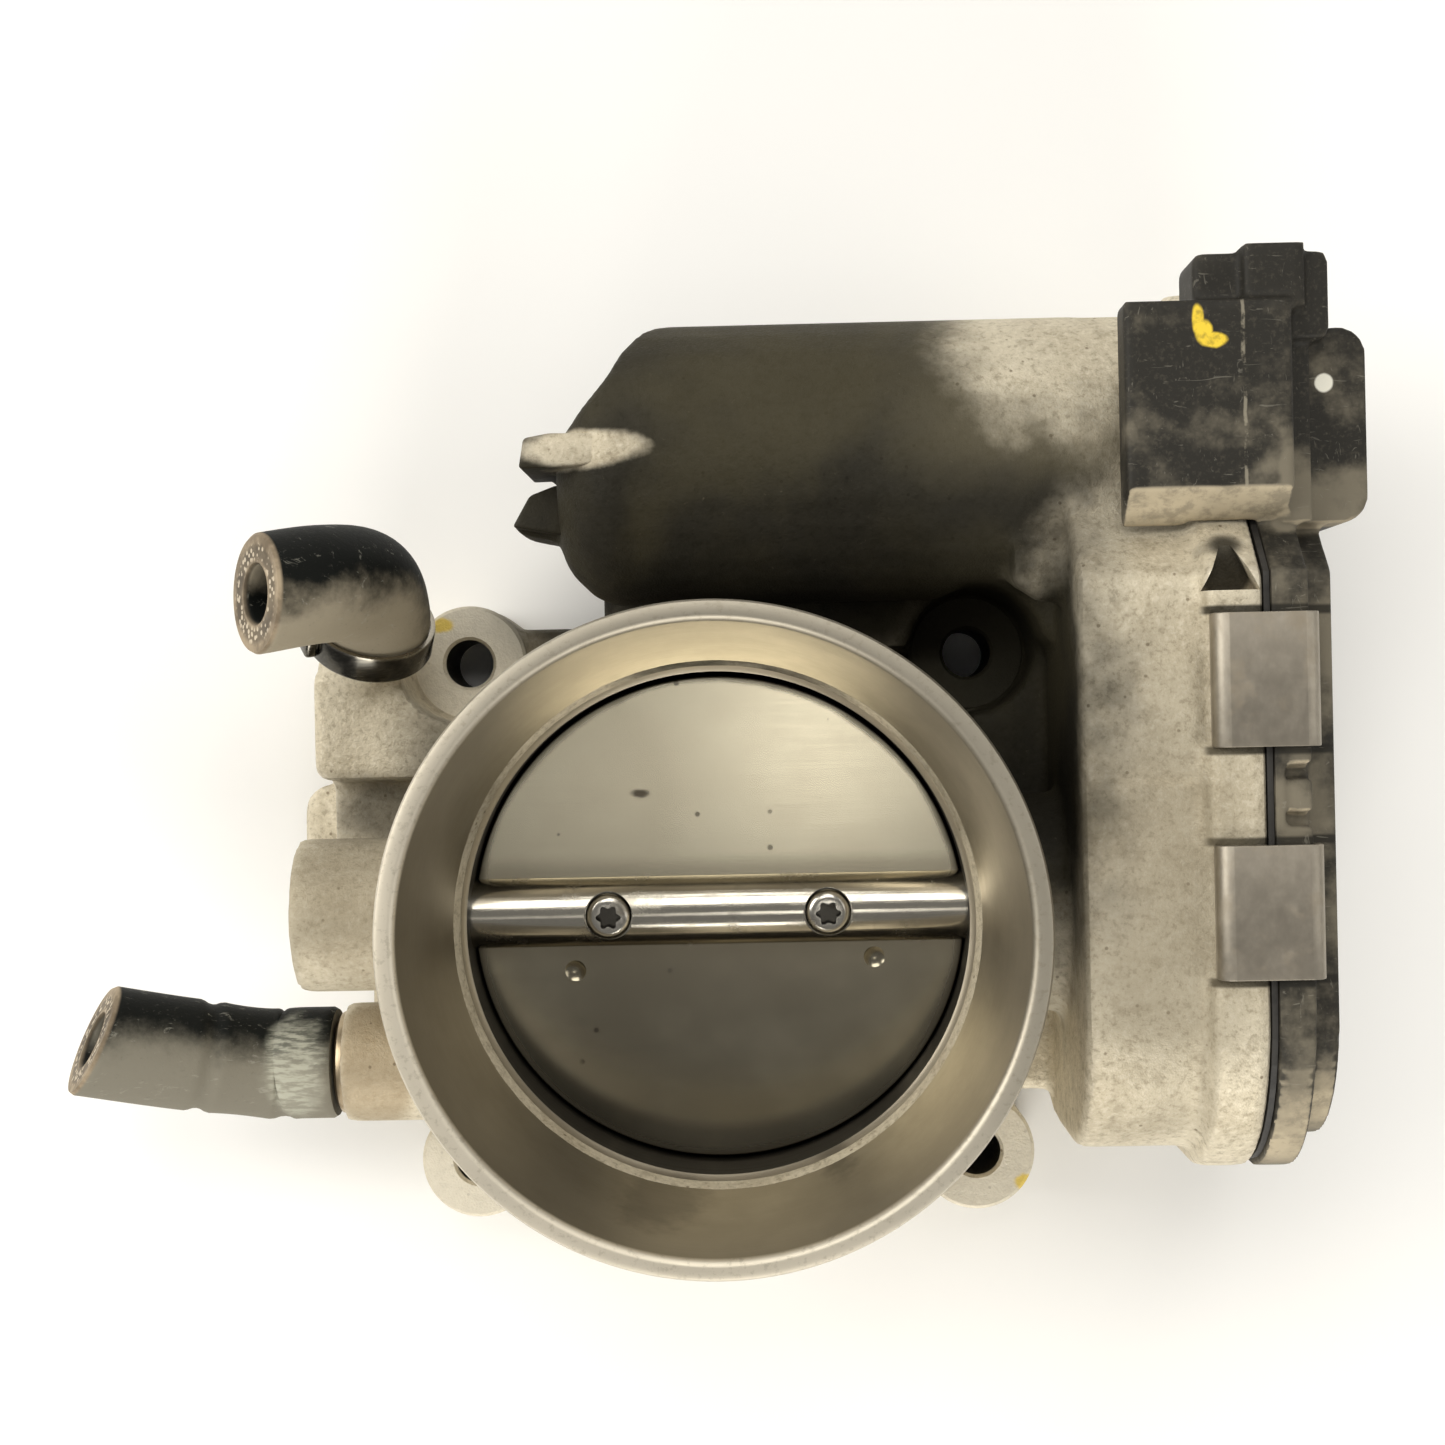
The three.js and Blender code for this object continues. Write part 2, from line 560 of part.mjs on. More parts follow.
function clipSeats() {
  const seats = [];
  for (const y of CLIP_Y) {
    for (const side of [1, -1]) {
      const low = CASE_HALF + CASE_LEDGE - CLIP_HOOK - 0.8;
      const z = [SHAFT_Z + side * low, SHAFT_Z + side * (low + 9)].sort((a, b) => a - b);
      seats.push(box([COVER_STEP_X, COVER_STEP_X + CLIP_T + 2 * GAP + CUT],
        [y - CLIP_L / 2 - GAP, y + CLIP_L / 2 + GAP], z));
    }
  }
  return seats;
}

function gearCover() {
  const room = join(
    casePrism(CASE_LEDGE + 0.4, CASE_FLANGE_X - CUT, CASE_FACE_X + GASKET_T),
    casePrism(0.4, FLOOR_X, CASE_FACE_X),
  );
  const body = join(coverShell(), connectorBody());
  const [x, y, z] = socketBox();
  return cut(
    body, coverHollow(), room, box(x, y, z), ...coverEdgeCuts(), ...clipSeats(), ...connectorPinHoles(),
  );
}

function pinPlaces() {
  const x = (SHROUD_X[0] + SHROUD_X[1]) / 2;
  const z = (SHROUD_Z[0] + SHROUD_Z[1]) / 2;
  return Array.from({ length: PINS }, (_, i) => [x + (i - (PINS - 1) / 2) * PIN_PITCH, z]);
}

function connectorPinHoles() {
  const floor = SHROUD_Y[1] - SOCKET_DEPTH;
  const half = PIN_SIZE / 2 + 0.15;
  return pinPlaces().map(
    ([x, z]) => box([x - half, x + half], [floor - 1.3, floor + CUT], [z - half, z + half]),
  );
}

function connectorPins() {
  const floor = SHROUD_Y[1] - SOCKET_DEPTH;
  const half = PIN_SIZE / 2;
  return pinPlaces().map(
    ([x, z]) => box([x - half, x + half], [floor - 1.1, floor + PIN_REACH], [z - half, z + half]),
  );
}

function coverGasket() {
  const outer = casePrism(CASE_LEDGE - 0.9, CASE_FACE_X + 0.05, CASE_FACE_X + GASKET_T);
  return cut(outer, casePrism(-CASE_WALL + 0.9, CASE_FACE_X - CUT, CASE_FACE_X + GASKET_T + CUT));
}

// Spring clip: a strap over the joint, hooked behind the case flange and over the cover's step.
function springClip(y, side) {
  const top = CASE_HALF + CASE_LEDGE + GAP;
  const right = COVER_STEP_X + GAP + CLIP_T;
  const shape = polygon([
    [top + CLIP_T, CLIP_X], [top + CLIP_T, right], [top - CLIP_HOOK, right], [top - CLIP_HOOK, right - CLIP_T],
    [top, right - CLIP_T], [top, CLIP_X + CLIP_T],
    [top - CLIP_HOOK, CLIP_X + CLIP_T], [top - CLIP_HOOK, CLIP_X],
  ]);
  const clip = alongY(shape, y - CLIP_L / 2, y + CLIP_L / 2);
  const placed = side > 0 ? clip : clip.mirror([0, 0, 1]);
  return placed.translate([0, 0, SHAFT_Z]);
}

// ---------------------------------------------------------------- shaft, plate and bearings

// Turns a body that was made level about the shaft's axis by an angle in degrees.
function tilted(body, degrees) {
  return body.translate([0, -SHAFT_Y, -SHAFT_Z]).rotate([degrees, 0, 0]).translate([0, SHAFT_Y, SHAFT_Z]);
}

function screwPlaces() {
  return [-PLATE_SCREW_X, PLATE_SCREW_X];
}

function throttleShaft() {
  const bar = rodX(SHAFT_R, SHAFT_LEFT, SHAFT_RIGHT, 0, 0, 32);
  const half = PLATE_T / 2 + 0.15;
  const slot = box([-BORE_R - 0.2, BORE_R + 0.2], [-SHAFT_R - CUT, SHAFT_R + CUT], [-half, half]);
  const seats = screwPlaces().map(
    (x) => rod(SCREW_HEAD_R + 0.35, SHAFT_R - 1.5, SHAFT_R + CUT, 24).translate([x, 0, 0]),
  );
  const holes = screwPlaces().map((x) => rod(1.75, -SHAFT_R - CUT, SHAFT_R, 16).translate([x, 0, 0]));
  const body = cut(bar, slot, ...seats, ...holes).translate([0, SHAFT_Y, SHAFT_Z]);
  return tilted(body, REST_TILT);
}

// The plate is the slice of the bore that its slab fills when shut, so its edge is a true fit.
function throttlePlate() {
  const slab = box([-BORE_R, BORE_R], [-BORE_R - 4, BORE_R + 4], [-PLATE_T / 2, PLATE_T / 2]);
  const shut = tilted(slab.translate([0, SHAFT_Y, SHAFT_Z]), CLOSED_TILT);
  const disc = shut.intersect(rod(BORE_R - PLATE_GAP, 0, BORE_TOP + 20, BORE_SIDES));
  const open = tilted(disc, REST_TILT - CLOSED_TILT);
  const holes = screwPlaces().map((x) => tilted(
    rod(1.75, -3, 3, 16).translate([x, SHAFT_Y, SHAFT_Z]), REST_TILT));
  return cut(open, ...holes);
}

function plateScrew(x) {
  const seat = SHAFT_R - 1.5 + 0.05;
  const top = seat + SCREW_HEAD_T;
  const body = turned([
    [0, -SHAFT_R + 0.6], [1.6, -SHAFT_R + 0.6], [1.6, seat], [SCREW_HEAD_R, seat], [SCREW_HEAD_R, top - 0.5],
    [SCREW_HEAD_R - 0.8, top], [0, top],
  ], 24);
  const star = new THREE.Shape();
  const lobes = 6;
  for (let i = 0; i < 2 * lobes; i += 1) {
    const r = i % 2 ? 1.25 : 1.75;
    const angle = i * Math.PI / lobes;
    if (i === 0) star.moveTo(r, 0);
    else star.lineTo(r * Math.cos(angle), r * Math.sin(angle));
  }
  const socket = alongZ(star, top - 1.1, top + CUT);
  return tilted(cut(body, socket).translate([x, SHAFT_Y, SHAFT_Z]), REST_TILT);
}

const needleBearing = () => ringX(
  SHAFT_R + RUN, NEEDLE_R, NEEDLE_X, NEEDLE_X + NEEDLE_LEN, SHAFT_Y, SHAFT_Z,
);
const bossPlug = () => rodX(NEEDLE_R, BOSS_END + 0.6, BOSS_END + 2.2, SHAFT_Y, SHAFT_Z, 22);
const innerRace = () => ringX(
  SHAFT_R + RUN / 2, SHAFT_R + RACE_T, BALL_X, BALL_X + BALL_W, SHAFT_Y, SHAFT_Z,
);
const outerRace = () => ringX(BALL_R - RACE_T, BALL_R, BALL_X, BALL_X + BALL_W, SHAFT_Y, SHAFT_Z);
const bearingCage = () => ringX(
  SHAFT_R + RACE_T + CAGE_GAP, BALL_R - RACE_T - CAGE_GAP,
  BALL_X + CAGE_INSET, BALL_X + BALL_W - CAGE_INSET, SHAFT_Y, SHAFT_Z,
);
const leftSeal = () => ringX(SHAFT_R + RUN, NEEDLE_R, SEAL_LEFT_X, SEAL_LEFT_X + SEAL_W, SHAFT_Y, SHAFT_Z);
const rightSeal = () => ringX(
  SHAFT_R + RUN, BALL_R - 1, SEAL_RIGHT_X, SEAL_RIGHT_X + SEAL_W, SHAFT_Y, SHAFT_Z,
);

// ---------------------------------------------------------------- gears, spring and sensor

function sectorGear() {
  const teeth = gearPoints(WHEEL_TEETH, WHEEL_ADDENDUM, SECTOR_FIRST, SECTOR_LAST);
  const hub = 8.5;
  const fan = alongX(polygon([...teeth, [0, 4], [-4, 0]]), SECTOR_X, SECTOR_X + SECTOR_W);
  const collar = rodX(hub, SECTOR_X, SECTOR_X + SECTOR_W + 0.4, 0, 0, 32);
  const sleeve = rodX(hub + 1.5, SECTOR_X - 7, SECTOR_X + CUT, 0, 0, 32);
  const pitch = 2 * Math.PI / WHEEL_TEETH;
  const windows = [-10.2, -5, 0.2].map((tooth) => {
    const angle = tooth * pitch;
    return rodX(
      3.6, SECTOR_X - CUT, SECTOR_X + SECTOR_W + CUT, 15.6 * Math.cos(angle), 15.6 * Math.sin(angle), 20,
    );
  });
  const bore = rodX(SHAFT_R + 0.05, SECTOR_X - 8, SECTOR_X + SECTOR_W + 2, 0, 0, 32);
  return cut(join(fan, collar, sleeve), bore, ...windows).translate([0, SHAFT_Y, SHAFT_Z]);
}

function idlerGear() {
  const small = gearX(PINION_TEETH, PINION_ADDENDUM, SECTOR_X - 0.5, WHEEL_X + CUT, IDLER_Y, SHAFT_Z);
  const large = gearX(WHEEL_TEETH, WHEEL_ADDENDUM, WHEEL_X, WHEEL_END, IDLER_Y, SHAFT_Z);
  const recess = ringX(8.5, 19.5, WHEEL_END - 1.3, WHEEL_END + CUT, IDLER_Y, SHAFT_Z, 20);
  const bore = rodX(IDLER_PIN_R + RUN, SECTOR_X - 2, WHEEL_END + CUT, IDLER_Y, SHAFT_Z, 20);
  return cut(join(small, large), recess, bore);
}

function idlerPin() {
  return rodX(IDLER_PIN_R, FLOOR_X + 1.6, COVER_END_X - COVER_WALL - 0.4, IDLER_Y, SHAFT_Z, 20);
}

// Torsion spring round the sector's sleeve, with a tang towards the case and one towards the gear.
function returnSpring() {
  const r = 13.2;
  const wire = 0.9;
  const turns = 2.5;
  const from = FLOOR_IN + 2.6;
  const rise = SECTOR_X - 1.6 - from;
  const points = [];
  const steps = 40;
  points.push(new THREE.Vector3(from - 1, SHAFT_Y - r - 4, SHAFT_Z));
  for (let i = 0; i <= steps; i += 1) {
    const angle = Math.PI + 2 * Math.PI * turns * i / steps;
    points.push(new THREE.Vector3(
      from + rise * i / steps, SHAFT_Y + r * Math.cos(angle), SHAFT_Z + r * Math.sin(angle),
    ));
  }
  const curve = new THREE.CatmullRomCurve3(points);
  const section = polygon(Array.from({ length: 5 }, (_, i) => [
    wire * Math.cos(0.4 * i * Math.PI), wire * Math.sin(0.4 * i * Math.PI)]));
  return solid(new THREE.ExtrudeGeometry(section, { steps: 52, extrudePath: curve, bevelEnabled: false }));
}

function sensorMagnet() {
  return rodX(3.9, SHAFT_RIGHT + 0.3, SHAFT_RIGHT + 3.4, SHAFT_Y, SHAFT_Z, 24);
}

function sensorBoard() {
  const x = COVER_END_X - COVER_WALL - 2;
  const board = box([x, x + 1.2], [SHAFT_Y - 18, SHAFT_Y + 18], [SHAFT_Z - 14, SHAFT_Z + 14]);
  const chip = box([x - 1, x + 0.5], [SHAFT_Y - 3.5, SHAFT_Y + 3.5], [SHAFT_Z - 3, SHAFT_Z + 3]);
  return join(board, chip);
}

// ---------------------------------------------------------------- motor

function motorCan() {
  const inner = MOTOR_R - MOTOR_WALL;
  return onX(turned([
    [MOTOR_SHAFT_R + 0.4, MOTOR_FROM - 4], [4.6, MOTOR_FROM - 4], [4.6, MOTOR_FROM], [MOTOR_R - 1, MOTOR_FROM],
    [MOTOR_R, MOTOR_FROM + 1], [MOTOR_R, MOTOR_END], [inner, MOTOR_END], [inner, MOTOR_FROM + MOTOR_WALL],
    [MOTOR_SHAFT_R + 0.4, MOTOR_FROM + MOTOR_WALL], [MOTOR_SHAFT_R + 0.4, MOTOR_FROM - 4],
  ], CAN_SIDES), MOTOR_Y, SHAFT_Z);
}

function motorMagnet(side) {
  const outer = (MOTOR_R - MOTOR_WALL) * Math.cos(Math.PI / CAN_SIDES) - RUN / 4;
  const inner = outer - MAGNET_T;
  const shape = new THREE.Shape();
  const half = 66 * RAD;
  const middle = side > 0 ? Math.PI / 2 : -Math.PI / 2;
  shape.absarc(0, 0, outer, middle - half, middle + half, false);
  shape.absarc(0, 0, inner, middle + half, middle - half, true);
  return alongX(shape, MOTOR_FROM + 4, MOTOR_FROM + 38, 8).translate([0, MOTOR_Y, SHAFT_Z]);
}

function motorArmature() {
  const a = MOTOR_FROM;
  return onX(turned([
    [0, a - 3], [MOTOR_SHAFT_R, a - 3], [MOTOR_SHAFT_R, a + 3], [9.4, a + 3.4], [10.4, a + 7],
    [ARMATURE_R, a + 8],
    [ARMATURE_R, a + 35], [10.4, a + 36], [9.2, a + 40], [6, a + 41], [6, a + 49], [MOTOR_SHAFT_R, a + 49],
    [MOTOR_SHAFT_R, WHEEL_END + 0.8], [0, WHEEL_END + 0.8],
  ], 16), MOTOR_Y, SHAFT_Z);
}

function motorEndPlate() {
  const x = [FLOOR_IN + 0.2, FLOOR_IN + 2.4];
  const places = motorScrewPlaces();
  const [, low] = places[1];
  const [near, high] = places[0];
  let plate = rodX(MOTOR_R - 0.6, x[0], x[1], MOTOR_Y, SHAFT_Z, 20);
  plate = plate.add(box(x, [near - 2, near + 6], [Math.min(low, high), Math.max(low, high)]));
  for (const [y, z] of places) plate = plate.add(rodX(4.2, x[0], x[1], y, z, 12));
  const neck = ringX(8, MOTOR_R - MOTOR_WALL - GAP, MOTOR_END - 2, FLOOR_IN + 1, MOTOR_Y, SHAFT_Z);
  const screws = places.map(([y, z]) => rodX(MOTOR_SCREW_R + 0.25, FLOOR_IN - CUT, FLOOR_IN + 4, y, z, 12));
  const shaftHole = rodX(MOTOR_SHAFT_R + 0.4, FLOOR_IN - CUT, FLOOR_IN + 4, MOTOR_Y, SHAFT_Z, 12);
  return cut(join(plate, neck), shaftHole, ...screws);
}

function motorScrew([y, z]) {
  const seat = FLOOR_IN + 2.5;
  return onX(turned([
    [0, FLOOR_X - 5], [MOTOR_SCREW_R, FLOOR_X - 5], [MOTOR_SCREW_R, seat], [3.4, seat], [3.4, seat + 1.6],
    [2.6, seat + 2.2], [1.3, seat + 2.2], [1.3, seat + 1], [0, seat + 1],
  ], 12), y, z);
}

function motorPinion() {
  const gear = gearX(PINION_TEETH, PINION_ADDENDUM, WHEEL_X - 0.6, WHEEL_END + 0.4, MOTOR_Y, SHAFT_Z);
  return cut(gear, rodX(MOTOR_SHAFT_R + 0.05, WHEEL_X - 2, WHEEL_END + 2, MOTOR_Y, SHAFT_Z, 20));
}

const waveWasher = () => ringX(5.2, 9, MOTOR_FROM - 0.8, MOTOR_FROM - 0.2, MOTOR_Y, SHAFT_Z);

// ---------------------------------------------------------------- coolant connections

function tube(points, r, steps, sides) {
  const curve = new THREE.CatmullRomCurve3(points, false, 'centripetal');
  const section = polygon(Array.from({ length: sides }, (_, i) => [
    r * Math.cos(2 * Math.PI * i / sides), r * Math.sin(2 * Math.PI * i / sides)]));
  return solid(new THREE.ExtrudeGeometry(section, { steps, extrudePath: curve, bevelEnabled: false }));
}

// Rubber hose with an open bore, cut off on a slant at its free end.
function hose(points, cutNormal) {
  const [start, next, ...rest] = vectors(points);
  const end = rest.at(-1);
  const before = start.clone().lerp(next, -0.4);
  const route = [start, start.clone().lerp(next, 0.5), next, ...rest];
  const beyond = end.clone().addScaledVector(end.clone().sub(rest.at(-2) ?? next).normalize(), 9);
  const outside = tube([...route, beyond], HOSE_R, 11, 14);
  const inside = tube([before, ...route, beyond.clone().lerp(end, -0.3)], HOSE_BORE_R, 11, 9);
  const blade = aimed(box([-30, 30], [-30, 30], [0, 40]), end, cutNormal);
  return cut(outside, inside, blade);
}

function nipple(at, direction, length) {
  const barb = length - 3.4;
  const profile = [
    [NIPPLE_BORE_R, -7], [NIPPLE_R, -7], [NIPPLE_R, barb - 0.6], [NIPPLE_R + 0.2, barb],
    [NIPPLE_R - 0.4, length], [NIPPLE_BORE_R, length], [NIPPLE_BORE_R, -7],
  ];
  return aimed(turned(profile, 20), at, direction);
}

function hoseBand() {
  const [start, next] = vectors(UPPER_HOSE);
  const direction = next.clone().sub(start).normalize();
  const band = ring(HOSE_R + GAP, HOSE_R + GAP + BAND_T, 0, BAND_W, 36);
  const latch = box([HOSE_R, HOSE_R + 2.6], [-3, 3], [0.6, BAND_W - 0.6]);
  const inside = rod(HOSE_R + GAP, -1, BAND_W + 1, 36);
  return aimed(cut(join(band, latch), inside), start.addScaledVector(direction, 0.6), direction);
}

// ---------------------------------------------------------------- assembly

const COLOURS = {
  casting: { color: 0xb9ad93, roughness: 0.62, metalness: 0.85 },
  plate: { color: 0xb0a488, roughness: 0.3, metalness: 1 },
  steel: { color: 0xa9a294, roughness: 0.25, metalness: 1 },
  clip: { color: 0x6f675a, roughness: 0.35, metalness: 0.9 },
  cover: { color: 0x575347, roughness: 0.75, metalness: 0 },
  rubber: { color: 0x23231e, roughness: 0.8, metalness: 0 },
  seal: { color: 0x2c2420, roughness: 0.7, metalness: 0 },
  brass: { color: 0x9a7d4a, roughness: 0.4, metalness: 0.9 },
  gear: { color: 0xd8d2bf, roughness: 0.5, metalness: 0 },
  magnet: { color: 0x35343a, roughness: 0.5, metalness: 0.6 },
  copper: { color: 0x9c5a34, roughness: 0.45, metalness: 0.8 },
  board: { color: 0x23523a, roughness: 0.5, metalness: 0 },
};

const throttleBody = new THREE.Group();

function place(name, body, finish) {
  const material = new THREE.MeshStandardMaterial(COLOURS[finish]);
  const mesh = new THREE.Mesh(geometryOf(body), material);
  mesh.name = name;
  throttleBody.add(mesh);
}

place('throttle_housing', throttleHousing(), 'casting');
place('gear_cover', gearCover(), 'cover');
place('cover_gasket', coverGasket(), 'seal');
CLIP_Y.forEach((y, i) => {
  place(`cover_clip_upper_${i + 1}`, springClip(y, 1), 'clip');
  place(`cover_clip_lower_${i + 1}`, springClip(y, -1), 'clip');
});
connectorPins().forEach((pin, i) => place(`connector_pin_${i + 1}`, pin, 'brass'));

place('throttle_shaft', throttleShaft(), 'steel');
place('throttle_plate', throttlePlate(), 'plate');
screwPlaces().forEach((x, i) => place(`plate_screw_${i + 1}`, plateScrew(x), 'steel'));
place('left_needle_bearing', needleBearing(), 'steel');
place('left_boss_plug', bossPlug(), 'steel');
place('left_shaft_seal', leftSeal(), 'seal');
place('right_shaft_seal', rightSeal(), 'seal');
place('right_bearing_inner_race', innerRace(), 'steel');
place('right_bearing_outer_race', outerRace(), 'steel');
place('right_bearing_cage', bearingCage(), 'brass');

place('sector_gear', sectorGear(), 'gear');
place('idler_gear', idlerGear(), 'gear');
place('idler_pin', idlerPin(), 'steel');
place('return_spring', returnSpring(), 'steel');
place('sensor_magnet', sensorMagnet(), 'magnet');
place('sensor_board', sensorBoard(), 'board');

place('motor_can', motorCan(), 'steel');
place('motor_magnet_1', motorMagnet(1), 'magnet');
place('motor_magnet_2', motorMagnet(-1), 'magnet');
place('motor_armature', motorArmature(), 'copper');
place('motor_end_plate', motorEndPlate(), 'seal');
motorScrewPlaces().forEach((at, i) => place(`motor_screw_${i + 1}`, motorScrew(at), 'steel'));
place('motor_wave_washer', waveWasher(), 'steel');
place('motor_pinion', motorPinion(), 'brass');

const upperRoute = vectors(UPPER_HOSE);
place('coolant_nipple_upper',
  nipple(upperRoute[0], upperRoute[1].clone().sub(upperRoute[0]), NIPPLE_SHORT), 'steel');
place('coolant_nipple_lower', nipple(LOWER_PORT, new THREE.Vector3(-1, 0, 0), NIPPLE_LEN), 'brass');
place('coolant_hose_upper', hose(UPPER_HOSE, UPPER_CUT), 'rubber');
place('coolant_hose_lower', hose(LOWER_HOSE, LOWER_CUT), 'rubber');
place('hose_clamp', hoseBand(), 'clip');

export default throttleBody;
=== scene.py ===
"""Looks of an electronic throttle body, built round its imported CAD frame."""

import logging
import math
from dataclasses import dataclass
from enum import Enum
from typing import Iterable, Sequence

import bmesh
import bpy
from mathutils import Matrix, Vector


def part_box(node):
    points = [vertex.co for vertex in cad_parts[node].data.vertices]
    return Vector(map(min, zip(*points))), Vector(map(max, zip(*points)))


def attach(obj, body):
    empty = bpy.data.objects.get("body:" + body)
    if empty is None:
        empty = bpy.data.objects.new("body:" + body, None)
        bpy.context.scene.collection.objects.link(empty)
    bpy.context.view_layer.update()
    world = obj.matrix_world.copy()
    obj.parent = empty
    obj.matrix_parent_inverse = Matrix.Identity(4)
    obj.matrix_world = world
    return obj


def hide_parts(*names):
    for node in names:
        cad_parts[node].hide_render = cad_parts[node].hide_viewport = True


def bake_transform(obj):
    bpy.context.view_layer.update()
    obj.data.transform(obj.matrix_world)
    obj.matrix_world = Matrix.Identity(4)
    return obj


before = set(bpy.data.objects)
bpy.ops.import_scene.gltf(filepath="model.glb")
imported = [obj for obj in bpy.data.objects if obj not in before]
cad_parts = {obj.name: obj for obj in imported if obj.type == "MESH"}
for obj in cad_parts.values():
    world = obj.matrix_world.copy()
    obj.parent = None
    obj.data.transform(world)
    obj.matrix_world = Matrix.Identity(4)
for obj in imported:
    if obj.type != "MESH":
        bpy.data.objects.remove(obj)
log = logging.getLogger("throttle_body")

Point = tuple[float, float, float]
Colour = tuple[float, float, float]
Outline = Sequence[tuple[float, float]]

MM = 0.001
CLIP_ENDS = (39.8, 22.2, 10.8, -6.8)    # where the spring clips stop, along Y
BOLT_SQUARE = 36.5                      # half the bolt square
EAR_TOP = 16.0
LIP_HEIGHT = 44.0                       # top of the straight bore
RIM_HEIGHT = 70.0
SHAFT_Y = 1.5                           # the shaft's axis, which lies along X
SHAFT_Z = 36.5
REST_TILT = 8.0                         # the plate's tilt at rest, in degrees
HOSE_RADIUS = 8.0
FAR = 1e6                               # a radius that leaves its axis out of a mask


class Body(str, Enum):
    """The rigid bodies of the frame that a piece can ride on."""

    HOUSING = "housing"
    THROTTLE = "throttle"


class Axis(Enum):
    """The row axes that a turned piece can lie along, as a turn from +Z."""

    X = Matrix(((0, 0, 1, 0), (1, 0, 0, 0), (0, 1, 0, 0), (0, 0, 0, 1)))
    Z = Matrix.Identity(4)


# ------------------------------------------------------------------ shader maths


class Shade:
    """A value in a node tree; arithmetic on it adds the nodes that work it out."""

    def __init__(self, tree: "Tree", socket: bpy.types.NodeSocket) -> None:
        """Keeps the tree and the output socket that holds the value."""
        self.tree = tree
        self.socket = socket

    def __add__(self, other: "Shade | float") -> "Shade":
        """Sum of two values."""
        return self.tree.math("ADD", self, other)

    def __sub__(self, other: "Shade | float") -> "Shade":
        """Difference of two values."""
        return self.tree.math("SUBTRACT", self, other)

    def __rsub__(self, other: "Shade | float") -> "Shade":
        """Difference with a plain number on the left."""
        return self.tree.math("SUBTRACT", other, self)

    def __mul__(self, other: "Shade | float") -> "Shade":
        """Product of two values."""
        return self.tree.math("MULTIPLY", self, other)

    def __or__(self, other: "Shade | float") -> "Shade":
        """The larger of two values, which joins two masks."""
        return self.tree.math("MAXIMUM", self, other)

    __radd__ = __add__
    __rmul__ = __mul__


def opaque(colour: "Shade | Colour") -> "Shade | tuple":
    """Gives a plain colour its alpha."""
    return colour if isinstance(colour, Shade) else (*colour, 1.0)


